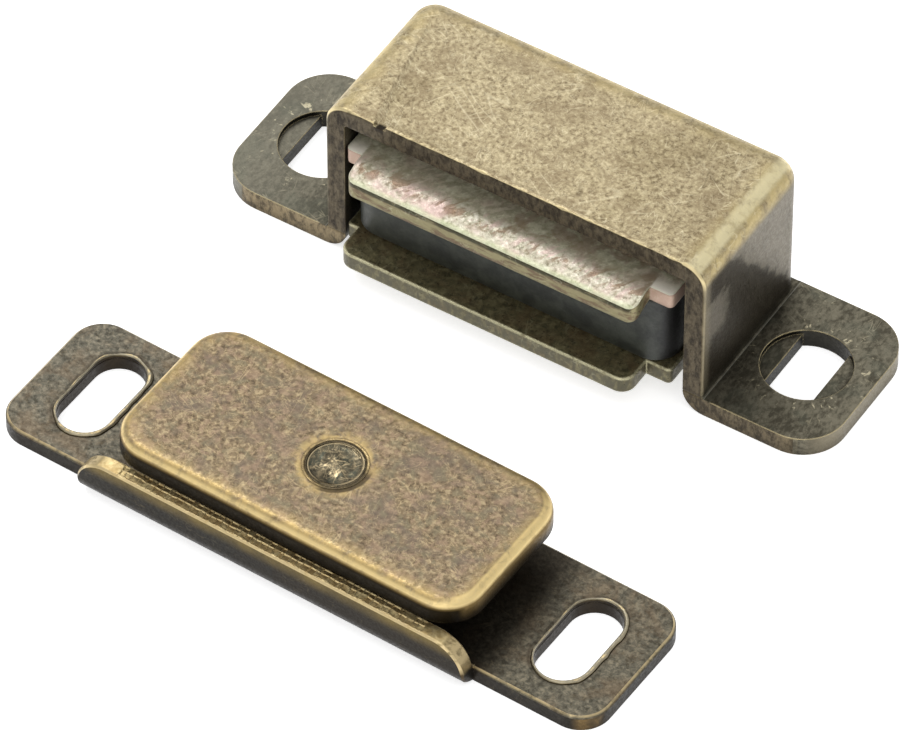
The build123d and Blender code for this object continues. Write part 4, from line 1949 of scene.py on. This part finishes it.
@dataclass
class Rivet:
    """The rivet, whose peened head laps over its recess, dished inside its rim and ragged in the middle."""

    node: str = "strike_rivet"
    arris_wear: float = 0.04
    # The head, from its rim to its middle: the share of the lap's radius, and the height above the
    # lap's foot.
    rings: tuple[tuple[float, float], ...] = (
        (1.0, 0.0),
        (0.99, 0.025),
        (0.93, 0.03),
        (0.9, 0.0),
        (0.88, -0.14),
        (0.85, -0.14),
        (0.83, -0.04),
        (0.8, -0.04),
        (0.76, -0.11),
        (0.7, -0.15),
        (0.6, -0.17),
        (0.48, -0.17),
        (0.36, -0.14),
        (0.24, -0.1),
        (0.12, -0.07),
    )
    lap_radius: float = 2.36
    lap_height: float = 0.012
    flat_facing: float = 0.99
    groove: tuple[float, float] = (0.84, 0.905)
    dish: float = 0.8
    hollow: Triple = (0.1, -0.75, 0.0)
    hollow_depth: float = 0.16
    hollow_reach: float = 0.75
    ragged: float = 0.09
    ragged_grain: float = 2.3
    ragged_rise: float = 2.5
    finish: PlatedSteel = PlatedSteel(
        name="dull_rivet_plate",
        dark=display(62, 57, 45),
        middle=display(92, 85, 68),
        light=display(128, 115, 90),
        patch=display(76, 83, 73),
        edge=display(226, 204, 160),
        rough=0.36,
        patch_size=1.3,
        patch_share=0.7,
        edge_width=0.14,
        scratch_share=0.5,
    )
    lap: Color = display(196, 172, 122)
    lap_dark: Color = display(150, 130, 94)
    painted_shade: Color = display(44, 39, 29)
    # The bright middle, the lap, painted shade on one side of it, the groove darkened with painted shade,
    # and the bead inside it.
    middle_reach: Span = (1.25, 0.6)
    middle_clouds: Clouds = Clouds(grain=0.5, warp=0.6, shift=9.0, low=0.5, high=0.6)
    middle_share: float = 0.65
    lap_clouds: Clouds = Clouds(grain=0.4, warp=0.3, shift=27.0, low=0.4, high=0.6)
    painted_shade_side: float = -38.0
    painted_shade_share: float = 0.85
    groove_share: float = 0.9
    bead_width: Span = (-0.16, -0.06)
    bead_share: float = 0.45
    edge_share: float = 0.5

    def build(self, pivot: Vector) -> None:
        """Dishes the head and dresses the rivet.

        Args:
            pivot: Where the rivet's axis stands, in metres.
        """
        self.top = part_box(self.node)[1][2]
        self.center = Vector((pivot.x, pivot.y, self.top + self.lap_height * MM))
        remade = Remade(self.node)
        self.dish_head(remade)
        piece = remade.place("peened_rivet", "root", "rivet_steel", self.arris_wear)
        piece.data.materials.append(self.dress())

    def dish_head(self, remade: Remade) -> None:
        """Replaces the head's flat top by rings that lap over its recess and sink to a ragged middle.

        Args:
            remade: The rivet in mesh code.
        """
        flat = remade.faces(
            lambda face: face.normal.z > self.flat_facing and face.calc_center_median().z > self.top - HAIR
        )
        rim = [edge for face in flat for edge in face.edges if any(f not in flat for f in edge.link_faces)]
        bmesh.ops.delete(remade.mesh, geom=flat, context="FACES_ONLY")
        outer = sorted({v for edge in rim for v in edge.verts}, key=self.bearing(rim))
        outward = [(v.co - self.center).to_2d().to_3d().normalized() for v in outer]
        lap = [self.center + out * (self.lap_radius * MM) for out in outward]
        for share, rise in self.rings:
            ring = [remade.mesh.verts.new(self.worn(point, share, rise)) for point in lap]
            for index, point in enumerate(outer):
                after = (index + 1) % len(outer)
                remade.mesh.faces.new((point, outer[after], ring[after], ring[index]))
            outer = ring
        remade.mesh.faces.new(outer)

    def bearing(self, rim: list[bmesh.types.BMEdge]) -> Callable[[bmesh.types.BMVert], float]:
        """Gives a key that sorts the rim's points round its middle."""
        points = {v for edge in rim for v in edge.verts}
        middle = sum((v.co for v in points), Vector()) / len(points)
        return lambda v: atan2(v.co.y - middle.y, v.co.x - middle.x)

    def worn(self, rim: Vector, share: float, rise: float) -> Vector:
        """Finds a point of the dished head.

        Args:
            rim: The point of the lap's rim on the same bearing.
            share: How far out the point lies, as a share of the lap's radius.
            rise: How far the ring lies above the lap's foot, in millimetres.

        Returns:
            The point.
        """
        point = self.center + (rim - self.center) * share
        inside = max(0.0, 1 - share / self.dish)
        hollow = self.center + Vector(self.hollow) * MM
        near = max(0.0, 1 - (point - hollow).length / (self.hollow_reach * MM))
        rough = noise.noise(point / MM * self.ragged_grain) * self.ragged
        rough *= min(1.0, self.ragged_rise * inside)
        point.z += (rise + rough - near * self.hollow_depth) * MM
        return point

    def dress(self) -> bpy.types.Material:
        """Makes the rivet's finish and returns it."""
        graph = Graph(self.finish.name, self.center)
        color = self.finish.mottle(graph)
        away = graph.from_middle()
        inner, outer = (share * self.lap_radius for share in self.groove)
        middle = graph.times(graph.span(away, *self.middle_reach), graph.patches(self.middle_clouds))
        color = graph.mix(graph.times(middle, self.middle_share), color, self.finish.edge)
        on_lap = graph.math(Op.MORE, away, outer)
        color = graph.mix(on_lap, color, graph.mix(graph.patches(self.lap_clouds), self.lap_dark, self.lap))
        # Painted shade on the lap's lower right and in the groove.
        painted_shade = graph.times(graph.toward(self.painted_shade_side), on_lap, self.painted_shade_share)
        color = graph.mix(painted_shade, color, self.painted_shade)
        groove = graph.times(
            graph.math(Op.MORE, away, inner), graph.math(Op.LESS, away, outer), self.groove_share
        )
        color = graph.mix(groove, color, self.painted_shade)
        bead = graph.times(
            graph.math(Op.LESS, away, inner),
            graph.span(away, *beyond(inner, self.bead_width)),
            self.bead_share,
        )
        color = graph.mix(bead, color, self.finish.edge)
        edge, rounded = graph.edges(self.finish.edge_width)
        color, worn = self.finish.wear(graph, color, graph.times(edge, self.edge_share))
        return self.finish.finish(graph, color, worn, rounded)


@dataclass
class Softbox:
    """A large soft lamp that faces the object."""

    name: str
    azimuth: float
    elevation: float
    distance: float
    width: float
    power: float
    color: Color = (1.0, 1.0, 1.0)

    def build(self, target: Vector) -> None:
        """Hangs the lamp.

        Args:
            target: The point it faces, in metres.
        """
        data = bpy.data.lights.new(self.name, "AREA")
        data.shape = "SQUARE"
        data.size = self.width
        data.energy = self.power
        data.color = self.color
        lamp = bpy.data.objects.new(self.name, data)
        bpy.context.scene.collection.objects.link(lamp)
        level = cos(radians(self.elevation))
        away = Vector(
            (
                sin(radians(self.azimuth)) * level,
                -cos(radians(self.azimuth)) * level,
                sin(radians(self.elevation)),
            )
        )
        lamp.location = target + away * self.distance
        lamp.rotation_euler = away.to_track_quat("Z", "Y").to_euler()


@dataclass
class Studio:
    """A pale floor, soft light from behind on the left, and the camera."""

    floor_size: float = 3.0
    floor_color: Color = (0.94, 0.94, 0.94)
    floor_glow: float = 0.66
    sky: Color = (1.0, 1.0, 1.0)
    sky_strength: float = 0.63
    azimuth: float = 32.22
    elevation: float = 47.435
    distance: float = 0.6614
    lens: float = 377.1
    floor_rough: float = 0.9
    floor_drop: float = 0.02
    nearest: float = 0.05
    aim: Triple = (-0.00268, -0.01063, -0.00178)
    lamps: tuple[Softbox, ...] = (
        Softbox("rear_softbox", -148, 50, 0.9, 0.5, 0.35, (1.0, 0.99, 0.97)),
        Softbox("side_softbox", -112, 60, 1.0, 0.5, 2.6),
        Softbox("overhead_softbox", 60, 78, 1.0, 1.0, 1.3),
        Softbox("front_softbox", 10, 32, 0.8, 0.5, 0.8),
    )

    def build(self) -> None:
        """Lays the floor, hangs the lamps and sets the camera."""
        self.lay_floor()
        for lamp in self.lamps:
            lamp.build(Vector((0, 0, 0)))
        self.light_sky()
        self.set_camera()
        log.info("the studio is lit by %d lamps", len(self.lamps))

    def lay_floor(self) -> None:
        """Makes the plain pale floor just under the object."""
        mesh = bpy.data.meshes.new("floor")
        grid = bmesh.new()
        bmesh.ops.create_grid(grid, x_segments=1, y_segments=1, size=self.floor_size / 2)
        grid.to_mesh(mesh)
        grid.free()
        floor = bpy.data.objects.new("floor", mesh)
        bpy.context.scene.collection.objects.link(floor)
        floor.location.z = -self.floor_drop * MM
        material = bpy.data.materials.new("pale_floor")
        material.use_nodes = True
        shader = material.node_tree.nodes["Principled BSDF"]
        shader.inputs["Base Color"].default_value = (*self.floor_color, 1.0)
        shader.inputs["Roughness"].default_value = self.floor_rough
        shader.inputs["Emission Color"].default_value = (*self.floor_color, 1.0)
        shader.inputs["Emission Strength"].default_value = self.floor_glow
        mesh.materials.append(material)

    def light_sky(self) -> None:
        """Fills the room with even light."""
        world = bpy.data.worlds.new("studio_air")
        world.use_nodes = True
        background = world.node_tree.nodes["Background"]
        background.inputs["Color"].default_value = (*self.sky, 1.0)
        background.inputs["Strength"].default_value = self.sky_strength
        bpy.context.scene.world = world
        bpy.context.scene.view_settings.view_transform = "Standard"

    def set_camera(self) -> None:
        """Points a long lens at the catch."""
        data = bpy.data.cameras.new("camera")
        data.lens = self.lens
        data.clip_start = self.nearest
        data.dof.use_dof = False
        camera = bpy.data.objects.new("camera", data)
        bpy.context.scene.collection.objects.link(camera)
        azimuth = radians(self.azimuth)
        elevation = radians(self.elevation)
        away = Vector(
            (sin(azimuth) * cos(elevation), -cos(azimuth) * cos(elevation), sin(elevation))
        )
        right = Vector((cos(azimuth), sin(azimuth), 0))
        up = away.cross(right)
        camera.matrix_world = Matrix.Translation(Vector(self.aim) + away * self.distance) @ Matrix(
            (right, up, away)
        ).transposed().to_4x4()
        bpy.context.scene.camera = camera


def main() -> None:
    """Dresses every piece of the catch and sets up the studio."""
    logging.basicConfig(level=logging.INFO, format="%(name)s: %(message)s")
    pivot = Vector(frame["joints"][0]["pos_m"])
    noise.seed_set(SEED)
    Case().build()
    PolePlates().build()
    Magnet().build()
    Keeper().build(pivot)
    Strike().build(pivot)
    Rivet().build(pivot)
    Studio().build()


if __name__ == "__main__":
    main()
